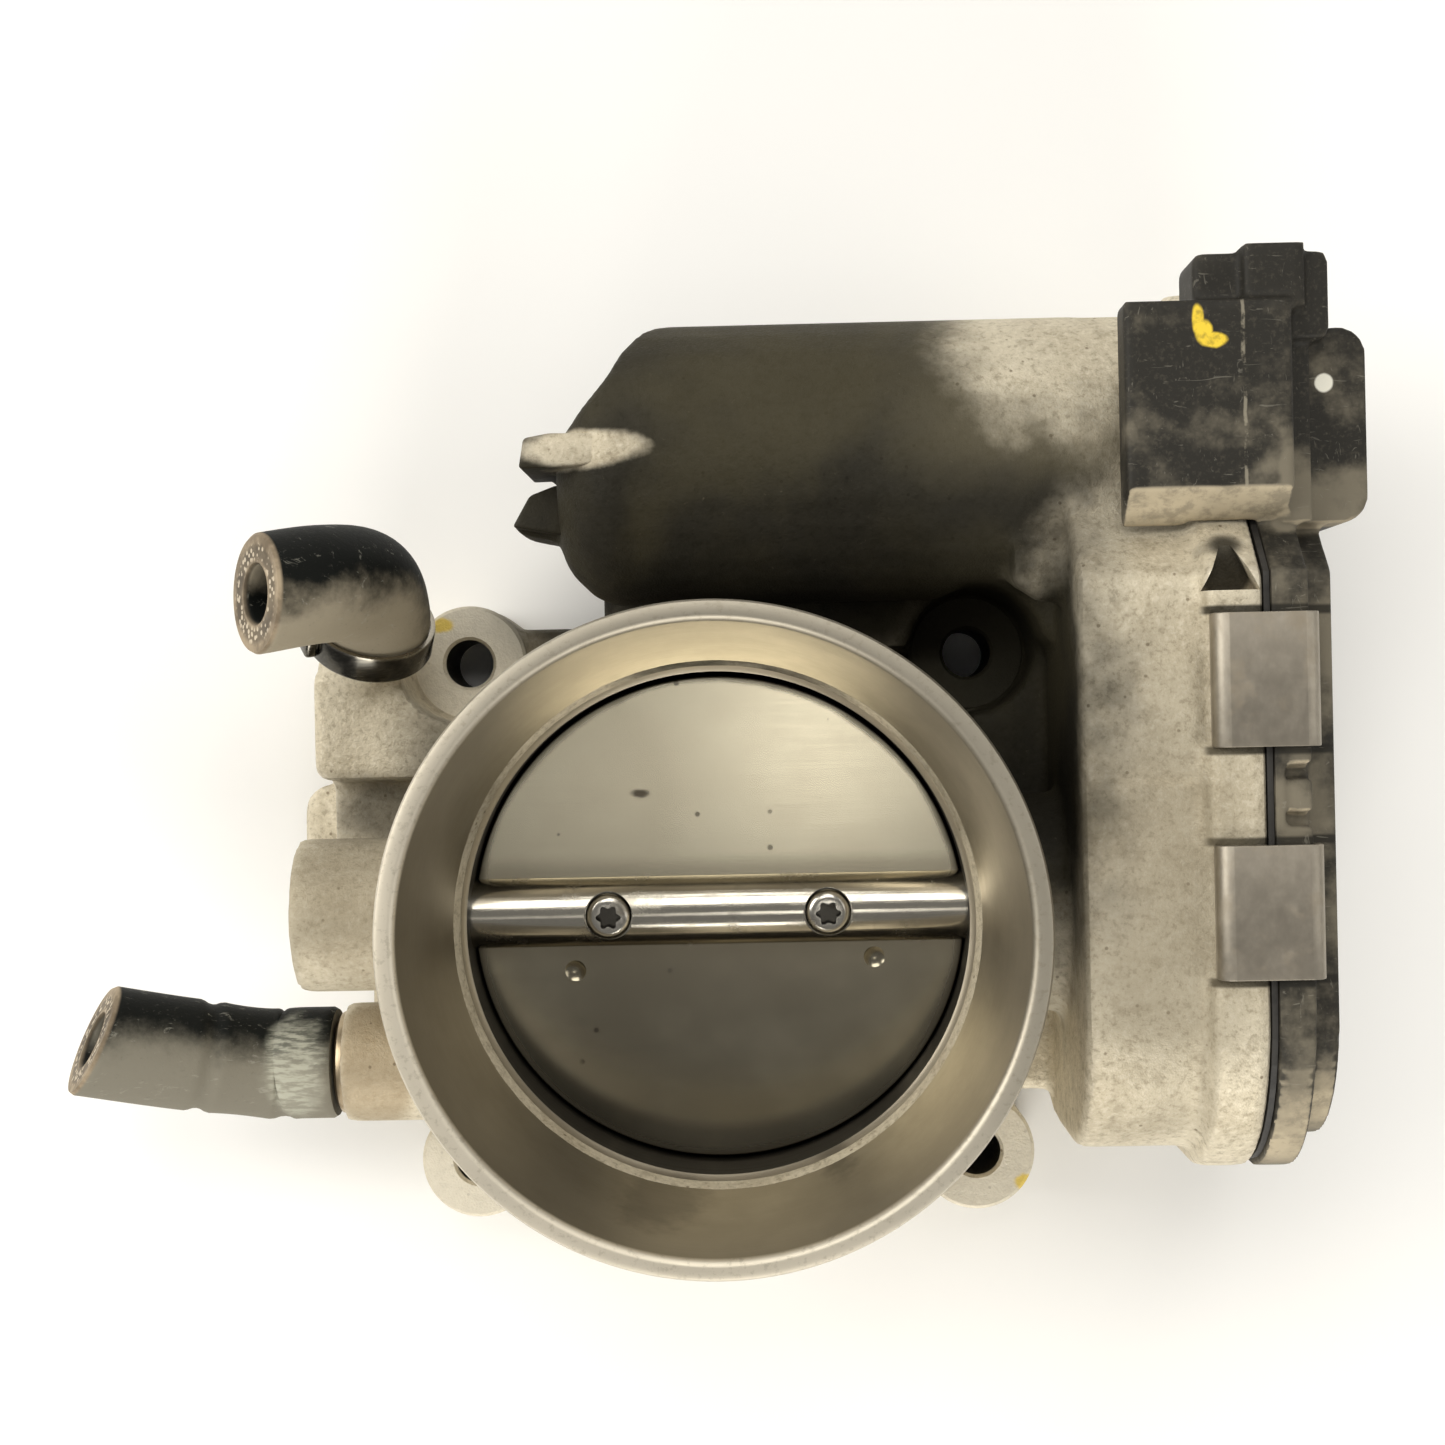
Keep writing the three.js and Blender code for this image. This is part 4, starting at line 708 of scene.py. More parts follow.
@dataclass(frozen=True)
class Rubber(Finish):
    """Old hose rubber: black above, tan dust below, a fibre ring in its cut end."""

    end: Point = (0, 0, 0)
    out: Point = (1, 0, 0)
    dust_side: Point = (0, -1, 0.1)
    dust_level: float = 0.1
    tan: Colour = (0.33, 0.29, 0.215)
    black: Colour = (0.006, 0.007, 0.006)
    worn: Point = (0, 0, -99)

    def cut_face(self, tree: Tree, cloud: Shade, size: Shade) -> Shade:
        """Colour of the cut end.

        Args:
            tree: the material's tree.
            cloud: the rubber's mottling.
            size: distance from the middle of the cut.

        Returns:
            Its layers: rubber, cords, rubber and the dark bore.
        """
        cords = tree.band(size, HOSE_RADIUS * 0.70, 1.5, 0.5)
        thread = tree.ramp(tree.cells(1.15), 0.46, 0.30)
        return tree.coated(
            (0.16, 0.125, 0.085),
            (tree.ramp(cloud, 0.35, 0.65), (0.36, 0.29, 0.20)),
            (cords * thread * 0.85, (0.60, 0.52, 0.40)),
            (cords * (1 - thread) * 0.6, (0.05, 0.042, 0.032)),
            (tree.ramp(size, HOSE_RADIUS * 0.56, HOSE_RADIUS * 0.46), (0.006, 0.006, 0.005)))

    def build(self, tree: Tree) -> bpy.types.Material:
        """Dust by the way the surface faces, scuffs, and the layers of the cut.

        Args:
            tree: the material's fresh tree.

        Returns:
            The finished material.
        """
        cloud = tree.noise(0.16, 5, 0.65)
        fine = tree.noise(1.4, 3, 0.7)
        side = tree.facing(self.dust_side)
        low = tree.ramp(side + (cloud - 0.5) * 1.1, self.dust_level - 0.25, self.dust_level + 0.55)
        scuff = tree.ramp(tree.noise(0.45, 4, 0.7, 1.2, (0.5, 1.6, 1.6)), 0.60, 0.70)
        rubbed = tree.blob(self.worn, (4.2, 7.0, 6.5), 0.35, 0.8, 0.3)
        streak = tree.ramp(tree.noise(1.0, 3, 0.6, 0.0, (0.35, 1.6, 1)), 0.38, 0.6, 0.35, 1.0)
        offset = tree.vector("SUBTRACT", tree.position(), self.end)
        face = tree.ramp(tree.dot(offset, self.out), -0.75, -0.25)
        colour = tree.coated(
            self.black,
            (low, self.tan),
            (scuff * 0.35, (0.40, 0.39, 0.33)),
            (tree.ramp(fine, 0.6, 0.75) * 0.25, (0.10, 0.095, 0.08)),
            (rubbed * streak * 0.8, (0.47, 0.47, 0.385)),
            (face, self.cut_face(tree, cloud, tree.vector("LENGTH", offset, result=1))))
        rough = 0.56 + low * 0.25 + (fine - 0.5) * 0.2
        return tree.surface(colour, rough, 0.0, tree.bump(fine + cloud, 0.12, 0.5), 0.1)


@dataclass(frozen=True)
class Plain(Finish):
    """Inner pieces: one base colour with mottling, grain and its own gloss."""

    base: Colour = (0.5, 0.5, 0.5)
    rough: float = 0.5
    metal: float = 0.0
    scale: float = 0.5

    def build(self, tree: Tree) -> bpy.types.Material:
        """Mottled colour and a fine relief.

        Args:
            tree: the material's fresh tree.

        Returns:
            The finished material.
        """
        cloud = tree.noise(self.scale, 4)
        fine = tree.noise(self.scale * 8, 2)
        darker = tuple(c * 0.62 for c in self.base)
        colour = tree.mix(tree.ramp(cloud, 0.42, 0.68), self.base, darker)
        rough = self.rough + (fine - 0.5) * 0.15
        return tree.surface(colour, rough, self.metal, tree.bump(fine, 0.03, 0.3))


CAST = Casting("cast_aluminium")
BORE = Turned("turned_aluminium")
PLATE = Sheet("plate_alloy")
SHAFT = Steel("polished_steel")
SCREW = Steel("screw_steel", metal=(0.66, 0.63, 0.56), rough=0.2, dirt=0.75, stretch=(1, 1, 1),
               painted_socket_shade=True)
CLIP = Steel("clip_steel", metal=(0.25, 0.225, 0.185), grime=(0.30, 0.26, 0.20), rough=0.5,
             dirt=0.8, stretch=(0.5, 0.35, 0.5), worn=0.8)
BAND = Steel("band_steel", metal=(0.05, 0.048, 0.042), rough=0.22, dirt=0.4, worn=0.6)
TAN_PORT = Steel("brass_port", metal=(0.42, 0.34, 0.23), grime=(0.20, 0.14, 0.08), rough=0.38, dirt=0.7,
                 stretch=(1, 1, 1))
COVER = Plastic("cover_plastic")
BEARING = Plain("bearing_steel", (0.55, 0.54, 0.51), 0.25, 1.0)
SEAL = Plain("seal_rubber", (0.03, 0.028, 0.025), 0.6)
BRASS = Plain("contact_brass", (0.58, 0.44, 0.2), 0.32, 1.0)
GEAR = Plain("gear_plastic", (0.72, 0.69, 0.58), 0.45)
MAGNET = Plain("magnet_ferrite", (0.05, 0.05, 0.055), 0.5, 0.3)
BOARD = Plain("circuit_board", (0.02, 0.12, 0.05), 0.35)
COPPER = Plain("winding_copper", (0.45, 0.2, 0.09), 0.4, 0.9)
BRUSH = Plain("brush_plastic", (0.06, 0.055, 0.05), 0.55)
SPRING = Plain("spring_wire", (0.32, 0.31, 0.29), 0.3, 1.0)


# ------------------------------------------------------------------ modelling tools


def new_object(name: str, bm: bmesh.types.BMesh, sharp: float = 32.0) -> bpy.types.Object:
    """Turns a finished bmesh into an object in millimetres brought to metres.

    Args:
        name: the piece's name.
        bm: its mesh in millimetres, which is freed.
        sharp: angle in degrees above which an edge stays sharp.

    Returns:
        The object, at the origin.
    """
    bmesh.ops.remove_doubles(bm, verts=bm.verts, dist=1e-4)
    bmesh.ops.recalc_face_normals(bm, faces=bm.faces)
    bmesh.ops.scale(bm, vec=(MM, MM, MM), verts=bm.verts)
    mesh = bpy.data.meshes.new(name)
    bm.to_mesh(mesh)
    bm.free()
    return with_mesh(name, mesh, sharp)


def with_mesh(name: str, mesh: bpy.types.Mesh, sharp: float = 32.0) -> bpy.types.Object:
    """Links an object for a mesh and smooths its shading up to an angle.

    Args:
        name: the object's name.
        mesh: its mesh, in metres.
        sharp: angle in degrees above which an edge stays sharp.

    Returns:
        The object, at the origin.
    """
    mesh.shade_smooth()
    mesh.set_sharp_from_angle(angle=math.radians(sharp))
    made = bpy.data.objects.new(name, mesh)
    bpy.context.scene.collection.objects.link(made)
    return made


def turned(profile: Outline, axis: Axis = Axis.Z, centre: Point = (0, 0, 0),
           steps: int = 64) -> bmesh.types.BMesh:
    """Spins a profile into a body.

    Args:
        profile: radius and height pairs; it closes on itself unless both ends are on the axis.
        axis: the axis that it lies along.
        centre: where its axis starts.
        steps: faces round it.

    Returns:
        The body, in millimetres.
    """
    bm = bmesh.new()
    verts = [bm.verts.new((r, 0, h)) for r, h in profile]
    pairs = list(zip(verts, verts[1:]))
    if profile[0][0] > 0:
        pairs.append((verts[-1], verts[0]))
    edges = [bm.edges.new(pair) for pair in pairs]
    bmesh.ops.spin(bm, geom=verts + edges, cent=(0, 0, 0), axis=(0, 0, 1), dvec=(0, 0, 0),
                   angle=2 * math.pi, steps=steps, use_merge=True, use_duplicate=False)
    bmesh.ops.remove_doubles(bm, verts=bm.verts, dist=1e-4)
    bmesh.ops.recalc_face_normals(bm, faces=bm.faces)
    bmesh.ops.transform(bm, matrix=Matrix.Translation(centre) @ axis.value, verts=bm.verts)
    return bm


def eased(bm: bmesh.types.BMesh, edges: Sequence[bmesh.types.BMEdge], by: float, segments: int) -> None:
    """Rounds some of a body's edges."""
    bmesh.ops.bevel(bm, geom=edges, offset=by, offset_type="OFFSET", affect="EDGES",
                    segments=segments, profile=0.5, material=-1)


def block(low: Point, high: Point, round_by: float = 0.0, segments: int = 3) -> bmesh.types.BMesh:
    """A box between two corners, with its edges rounded.

    Args:
        low: its lowest corner.
        high: its highest corner.
        round_by: how far its edges are rounded, or 0.
        segments: faces across a rounded edge.

    Returns:
        The body, in millimetres.
    """
    bm = bmesh.new()
    middle = (Vector(low) + Vector(high)) / 2
    size = Vector(high) - Vector(low)
    place = Matrix.Translation(middle) @ Matrix.Diagonal((*size, 1))
    bmesh.ops.create_cube(bm, size=1, matrix=place)
    if round_by:
        eased(bm, bm.edges[:], round_by, segments)
    return bm


def prism(outline: Outline, height: tuple[float, float]) -> bmesh.types.BMesh:
    """Extrudes a flat outline between two heights.

    Args:
        outline: its corners in X and Y.
        height: its lower and upper Z.

    Returns:
        The body, in millimetres.
    """
    bm = bmesh.new()
    face = bm.faces.new([bm.verts.new((x, y, height[0])) for x, y in outline])
    made = bmesh.ops.extrude_face_region(bm, geom=[face])
    tops = [v for v in made["geom"] if isinstance(v, bmesh.types.BMVert)]
    bmesh.ops.translate(bm, vec=(0, 0, height[1] - height[0]), verts=tops)
    bmesh.ops.recalc_face_normals(bm, faces=bm.faces)
    return bm


def merged(*bodies: bmesh.types.BMesh) -> bmesh.types.BMesh:
    """Puts several bodies into the first one, as separate shells.

    Args:
        *bodies: the bodies, of which all but the first are freed.

    Returns:
        The first body, with all the shells.
    """
    first, *others = bodies
    for body in others:
        mesh = bpy.data.meshes.new("passing")
        body.to_mesh(mesh)
        body.free()
        first.from_mesh(mesh)
        bpy.data.meshes.remove(mesh)
    return first


def baked(obj: bpy.types.Object, name: str, sharp: float = 32.0) -> bpy.types.Object:
    """Applies an object's modifiers and returns the result as a new object.

    Args:
        obj: the object, which is used up.
        name: the new object's name.
        sharp: angle in degrees above which an edge stays sharp.

    Returns:
        The new object, without modifiers or materials.
    """
    graph = bpy.context.evaluated_depsgraph_get()
    mesh = bpy.data.meshes.new_from_object(obj.evaluated_get(graph))
    bpy.data.objects.remove(obj)
    mesh.materials.clear()
    mesh.name = name
    return with_mesh(name, mesh, sharp)


def carved(obj: bpy.types.Object, tools: Iterable[bmesh.types.BMesh], name: str,
           operation: str = "DIFFERENCE", sharp: float = 32.0) -> bpy.types.Object:
    """Cuts tools out of an object, or keeps only what lies inside them, and applies the result.

    Args:
        obj: the object, which is used up.
        tools: closed bodies in millimetres, which are freed.
        name: the new object's name.
        operation: DIFFERENCE or INTERSECT.
        sharp: angle in degrees above which an edge stays sharp.

    Returns:
        The cut object.
    """
    helpers = [new_object("tool", tool) for tool in tools]
    for helper in helpers:
        step = obj.modifiers.new("cut", "BOOLEAN")
        step.operation = operation
        step.solver = "EXACT"
        step.object = helper
    made = baked(obj, name, sharp)
    for helper in helpers:
        bpy.data.objects.remove(helper)
    return made


def copy_of(node: str) -> bpy.types.Object:
    """A merged copy of a CAD node's mesh, in metres, to be worked on.

    Args:
        node: the CAD node, which stays as it is.

    Returns:
        The copy, as its own object.
    """
    bm = bmesh.new()
    bm.from_mesh(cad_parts[node].data)
    bmesh.ops.remove_doubles(bm, verts=bm.verts, dist=1e-6)
    mesh = bpy.data.meshes.new(node + "_copy")
    bm.to_mesh(mesh)
    bm.free()
    return with_mesh(node + "_copy", mesh)


def softened(obj: bpy.types.Object, name: str, voxel: float, rounds: int, keep: float) -> bpy.types.Object:
    """Remeshes a body evenly and rounds its edges and inner corners, as a mould does.

    Args:
        obj: the body, which is used up.
        name: the new piece's name.
        voxel: size of the new faces, in millimetres.
        rounds: smoothing passes.
        keep: share of the faces kept afterwards.

    Returns:
        The rounded piece.
    """
    remesh = obj.modifiers.new("remesh", "REMESH")
    remesh.mode = "VOXEL"
    remesh.voxel_size = voxel * MM
    smooth = obj.modifiers.new("smooth", "SMOOTH")
    smooth.factor = 0.5
    smooth.iterations = rounds
    if keep < 1:
        thin = obj.modifiers.new("thin", "DECIMATE")
        thin.ratio = keep
    return baked(obj, name, 60.0)


def fitted(obj: bpy.types.Object, body: Body, finish: Finish,
           stands_for: Sequence[str] = ()) -> bpy.types.Object:
    """Dresses a piece and ties it to its body.

    Args:
        obj: the piece.
        body: the body that it rides on.
        finish: its finish.
        stands_for: CAD nodes that it replaces.

    Returns:
        The piece.
    """
    obj.data.materials.clear()
    obj.data.materials.append(finish.material())
    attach(obj, body.value)
    if stands_for:
        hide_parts(*stands_for)
    log.info("%s: %d faces on %s", obj.name, len(obj.data.polygons), body.value)
    return obj


def corner(node: str) -> tuple[Vector, Vector]:
    """A CAD node's lowest and highest corners, in millimetres."""
    low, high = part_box(node)
    return low / MM, high / MM


# ------------------------------------------------------------------ housing


@dataclass
class Housing:
    """Cast housing with its machined bore, neck and bolt seats."""

    bore: float = 34.0
    lip: float = 1.0
    inlet: float = 39.7
    neck: float = 42.5
    ear_radius: float = 8.5
    bolt: float = 3.5
    wall: float = 1.4
    voxel: float = 0.85

    def at_ears(self, profile: Outline, steps: int) -> list[bmesh.types.BMesh]:
        """One turned body at each of the four bolt holes."""
        places = [(x * BOLT_SQUARE, y * BOLT_SQUARE, 0) for x in (1, -1) for y in (1, -1)]
        return [turned(profile, centre=place, steps=steps) for place in places]

    def skin(self) -> bpy.types.Object:
        """The casting with mould-rounded edges, cleared where metal was machined.

        Returns:
            The skin that replaces the CAD housing.
        """
        bore, neck, top = self.bore + 0.6, self.neck - 1.3, RIM_HEIGHT + 5
        ear, bolt, face = self.ear_radius + 0.2, self.bolt + 0.5, EAR_TOP - 0.7
        inside = [(0, -2), (bore, -2), (bore, LIP_HEIGHT + 1), (neck, 61), (neck, top), (0, top)]
        outside = [(38.6, RIM_HEIGHT - 14), (44.5, RIM_HEIGHT - 14), (44.5, top + 1), (38.6, top + 1)]
        room = [turned(inside, steps=96), turned(outside, steps=96)]
        holes = self.at_ears([(0, -2), (bolt, -2), (bolt, 30), (0, 30)], 32)
        faces = self.at_ears([(0, face), (ear, face), (ear, EAR_TOP + 0.4), (0, EAR_TOP + 0.4)], 32)
        for pair in zip(holes, faces):
            room += pair
        cleared = carved(copy_of("throttle_housing"), room, "cleared_casting")
        rounded = softened(cleared, "rounded_casting", self.voxel, 7, 0.55)
        pocket = prism([(65.4, 49.4), (61.9, 42.2), (69.1, 42.2)], (63.9, top))
        skin = carved(rounded, [pocket], "housing_casting")
        for vertex in skin.data.vertices:
            if vertex.co.z < 0.7 * MM:
                vertex.co.z = 0.0
        return skin

    def liner(self) -> bpy.types.Object:
        """Machined bore, lip, cone, rim and neck in one turned shell.

        Returns:
            The shell, which stands just proud of the skin.
        """
        bore, inlet, neck, back = self.bore, self.inlet, self.neck, self.bore + self.wall
        lip, step, rim = bore + self.lip, LIP_HEIGHT, RIM_HEIGHT
        profile = [
            (bore, 0.35), (bore, step), (bore + 0.15, step + 0.12), (lip - 0.1, step + 0.9),
            (lip + 0.1, step + 1.3), (inlet, rim - 0.8), (inlet + 0.25, rim - 0.35),
            (inlet + 0.7, rim - 0.04), (inlet + 1.0, rim), (neck - 0.75, rim),
            (neck - 0.3, rim - 0.12), (neck - 0.05, rim - 0.5),
            (neck, rim - 1.0), (neck, rim - 14.3), (neck - 0.4, rim - 14.8), (38.2, rim - 15.2),
            (back, step + 1), (back, 0.35),
        ]
        return new_object("machined_bore", turned(profile, steps=192), 40)

    def seats(self) -> bpy.types.Object:
        """Spot-faced bolt seats with drilled holes.

        Returns:
            The four seats in one mesh.
        """
        bolt, ear = self.bolt, self.ear_radius
        profile = [
            (bolt, 0.2), (bolt, EAR_TOP - 0.5), (bolt + 0.45, EAR_TOP), (ear - 0.5, EAR_TOP),
            (ear - 0.05, EAR_TOP - 0.35), (ear, EAR_TOP - 1.2), (ear - 1.0, EAR_TOP - 2.4),
            (bolt + 1.5, EAR_TOP - 3), (bolt + 1.0, 0.2),
        ]
        return new_object("bolt_seats", merged(*self.at_ears(profile, 56)), 35)

    def harness_pad(self) -> bpy.types.Object:
        """Cast pad on the motor's nose that a harness clip pushes on to.

        Returns:
            The pad and the ledge beside it.
        """
        outline = [(-24.6, 60.8), (-23.9, 64.8), (-20.5, 65.4), (-13.5, 65.2), (-7.6, 64.8), (-6.9, 62.3),
                   (-13.0, 61.4), (-18.6, 60.9)]
        ledge = [(-26.6, 54.0), (-24.2, 58.2), (-20.4, 59.6), (-18.2, 57.0), (-18.6, 52.6)]
        rounded = merged(prism(outline, (36, 54.8)), prism(ledge, (34, 45)))
        eased(rounded, rounded.edges[:], 0.5, 3)
        return new_object("harness_pad", rounded, 40)

    def build(self) -> None:
        """Makes the housing's pieces."""
        fitted(self.skin(), Body.HOUSING, CAST, ["throttle_housing"])
        fitted(self.liner(), Body.HOUSING, BORE)
        fitted(self.seats(), Body.HOUSING, CAST)
        fitted(self.harness_pad(), Body.HOUSING, CAST)


# ------------------------------------------------------------------ cover and clips


@dataclass
class Cover:
    """Plastic cover with its connector, and the clips that hold it."""

    voxel: float = 0.55
    clip_bend: float = 0.9
    strip: float = 1.0
    ease: float = 0.18
    rib: float = 0.7

    def skin(self) -> bpy.types.Object:
        """The cover with moulded edges and two fine grooves on the connector's block.

        Returns:
            The skin that replaces the CAD cover.
        """
        grooves = [block((64.6, 54, 66.1), (65.0, 80, 68)), block((55, 56.5, 66.25), (55.35, 77.5, 68))]
        cover = carved(copy_of("gear_cover"), grooves, "cut_cover")
        return softened(cover, "gear_cover_skin", self.voxel, 2, 0.6)

    def face_ribs(self) -> bpy.types.Object:
        """Strengthening ribs on the cover's outer face.

        Returns:
            All the ribs in one mesh.
        """
        face = corner("cover_gasket")[1].x + 8.3
        near, far, half, low, high = face - 1, face + 0.9, self.rib, 17, 56
        ribs = [((near, y - half, low), (far, y + half, high)) for y in (-20, -12.5, 20.5, 44)]
        ribs += [((near, -22, z - half), (far, 46, z + half)) for z in (low, high)]
        return new_object("cover_ribs", merged(*(block(*rib, 0.35, 2) for rib in ribs)))

    def clip(self, node: str) -> bpy.types.Object:
        """One spring clip bent from strip, with rounded bends and eased rims.

        Args:
            node: the CAD clip whose box it fills.

        Returns:
            The clip.
        """
        low, high = corner(node)
        upper = low.z > 40
        outside = high.z if upper else low.z
        down = -1 if upper else 1
        reach = high.z - low.z
        bend = self.clip_bend + self.strip
        flat = bend + 0.12
        angles = (math.pi / 8, math.pi / 4, 3 * math.pi / 8)
        path = [(low.x, reach), (low.x, flat), (low.x, bend)]
        path += [(low.x + bend * (1 - math.cos(a)), bend * (1 - math.sin(a))) for a in angles]
        path += [(low.x + bend, 0), (low.x + flat, 0), (high.x - flat, 0), (high.x - bend, 0)]
        path += [(high.x - bend * (1 - math.sin(a)), bend * (1 - math.cos(a))) for a in angles]
        path += [(high.x, bend), (high.x, flat), (high.x, reach)]
        bm = bmesh.new()
        row = [bm.verts.new((x, low.y, outside + down * drop)) for x, drop in path]
        edges = [bm.edges.new(pair) for pair in zip(row, row[1:])]
        made = bmesh.ops.extrude_edge_only(bm, edges=edges)
        far = [v for v in made["geom"] if isinstance(v, bmesh.types.BMVert)]
        bmesh.ops.translate(bm, vec=(0, high.y - low.y, 0), verts=far)
        bmesh.ops.recalc_face_normals(bm, faces=bm.faces)
        top = max(bm.faces, key=lambda f: f.calc_area())
        if top.normal.z * -down < 0:
            bmesh.ops.reverse_faces(bm, faces=bm.faces)
        bmesh.ops.solidify(bm, geom=bm.faces[:], thickness=self.strip)
        rims = [e for e in bm.edges if len(e.link_faces) == 2 and e.calc_face_angle() > 1.2]
        eased(bm, rims, self.ease, 2)
        return new_object(node + "_strip", bm)

    def build(self) -> None:
        """Makes the cover's and the clips' pieces."""
        fitted(self.skin(), Body.HOUSING, COVER, ["gear_cover"])
        fitted(self.face_ribs(), Body.HOUSING, COVER)
        for node in sorted(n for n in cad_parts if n.startswith("cover_clip")):
            fitted(self.clip(node), Body.HOUSING, CLIP, [node])


# ------------------------------------------------------------------ butterfly


@dataclass
class Butterfly:
    """Throttle plate, shaft and screws, at the tilt that they rest at."""

    radius: float = 33.65
    thick: float = 2.2
    shaft: float = 5.0
    shut: float = 3.0
    screw_at: float = 15.0
    head: float = 3.15
    seat: float = 3.5
    dimples: tuple[tuple[float, float], ...] = ((-20.0, -7.0), (21.3, -5.8))

    def tilt(self, degrees: float) -> Matrix:
        """Turn about the shaft's axis."""
        pivot = Matrix.Translation((0, SHAFT_Y, SHAFT_Z))
        return pivot @ Matrix.Rotation(math.radians(degrees), 4, "X") @ pivot.inverted()

    def slab(self, wide: float, deep: float, half: float) -> bmesh.types.BMesh:
        """A flat block round the shaft's axis, from half its width, depth and thickness."""
        return block((-wide, SHAFT_Y - deep, SHAFT_Z - half), (wide, SHAFT_Y + deep, SHAFT_Z + half))

    def plate(self) -> bpy.types.Object:
        """The plate: the slice of the bore that it shuts, with its edge eased and its two dimples.

        Returns:
            The plate at its rest tilt.
        """
        half = self.thick / 2
        slab = self.slab(40, 45, half)
        bmesh.ops.transform(slab, matrix=self.tilt(self.shut), verts=slab.verts)
        disc = turned([(0, 10), (self.radius, 10), (self.radius, 60), (0, 60)], steps=180)
        plate = carved(new_object("slab", slab), [disc], "plate", "INTERSECT")
        tools = []
        for x, y in self.dimples:
            lift = SHAFT_Z + half + 2.85 + (y - SHAFT_Y) * math.tan(math.radians(self.shut))
            ball = bmesh.new()
            bmesh.ops.create_uvsphere(ball, u_segments=40, v_segments=28, radius=3.2,
                                      matrix=Matrix.Translation((x, y, lift)))
            tools.append(ball)
        plate = carved(plate, tools, "throttle_plate_disc")
        plate.data.transform(self.to_metres(self.tilt(REST_TILT - self.shut)))
        ease = plate.modifiers.new("ease", "BEVEL")
        ease.width = 0.18 * MM
        ease.segments = 2
        ease.limit_method = "ANGLE"
        ease.angle_limit = math.radians(75)
        return baked(plate, "throttle_plate_disc", 16)

    def to_metres(self, matrix: Matrix) -> Matrix:
        """The same motion for a mesh that is already in metres."""
        scale = Matrix.Scale(MM, 4)
        return scale @ matrix @ scale.inverted()

    def bar(self) -> bpy.types.Object:
        """The shaft with its plate slot, screw seats and ground ends.

        Returns:
            The shaft at its rest tilt.
        """
        low, high = corner("throttle_shaft")
        r, seat, well = self.shaft, self.seat, self.head + 0.22
        profile = [(0, low.x), (r - 0.5, low.x), (r, low.x + 0.5), (r, high.x - 0.4),
                   (r - 0.4, high.x), (0, high.x)]
        hollow = [(0, seat), (well, seat), (well, 8), (0, 8)]
        tools = [self.slab(34.1, 8, self.thick / 2 + 0.12)]
        for x in (-self.screw_at, self.screw_at):
            tools.append(turned(hollow, centre=(x, SHAFT_Y, SHAFT_Z), steps=40))
        blank = new_object("bar", turned(profile, Axis.X, (0, SHAFT_Y, SHAFT_Z), 72))
        bar = carved(blank, tools, "throttle_shaft_bar", sharp=30)
        bar.data.transform(self.to_metres(self.tilt(REST_TILT)))
        return bar

    def star(self, radius: float, depth: tuple[float, float]) -> bmesh.types.BMesh:
        """Prism of a six-lobe driver recess.

        Args:
            radius: reach of a lobe's tip.
            depth: its lower and upper Z.

        Returns:
            The prism, in millimetres.
        """
        lobes = 6
        count = 8 * lobes
        outline = []
        for i in range(count):
            angle = 2 * math.pi * i / count
            reach = radius * (0.86 + 0.14 * math.cos(lobes * angle))
            outline.append((reach * math.cos(angle), reach * math.sin(angle)))
        return prism(outline, depth)

    def screw(self, x: float, name: str) -> bpy.types.Object:
        """A button-head screw with its six-lobe recess.

        Args:
            x: where it stands along the shaft.
            name: the piece's name.

        Returns:
            The screw at the shaft's rest tilt.
        """
        seat, head = self.seat, self.head
        top = seat + 1.72
        profile = [
            (0, -4.3), (1.3, -4.3), (1.6, -4.0), (1.6, seat + 0.05), (head, seat + 0.05),
            (head, top - 0.85), (head - 0.2, top - 0.45), (head - 0.65, top - 0.12),
            (head - 1.1, top), (0, top),
        ]
        recess = self.star(1.75, (top - 1.15, top + 1))
        made = carved(new_object("blank", turned(profile, steps=48)), [recess], name, sharp=28)
        place = self.tilt(REST_TILT) @ Matrix.Translation((x, SHAFT_Y, SHAFT_Z))
        made.data.transform(self.to_metres(place @ Matrix.Rotation(0.35 * x, 4, "Z")))
        return made

    def build(self) -> None:
        """Makes the turning pieces that show in the bore."""
        fitted(self.plate(), Body.THROTTLE, PLATE, ["throttle_plate"])
        fitted(self.bar(), Body.THROTTLE, SHAFT, ["throttle_shaft"])
        for i, x in enumerate((-self.screw_at, self.screw_at), 1):
            screw = self.screw(x, f"plate_screw_{i}_head")
            fitted(screw, Body.THROTTLE, SCREW, [f"plate_screw_{i}"])


# ------------------------------------------------------------------ coolant hoses


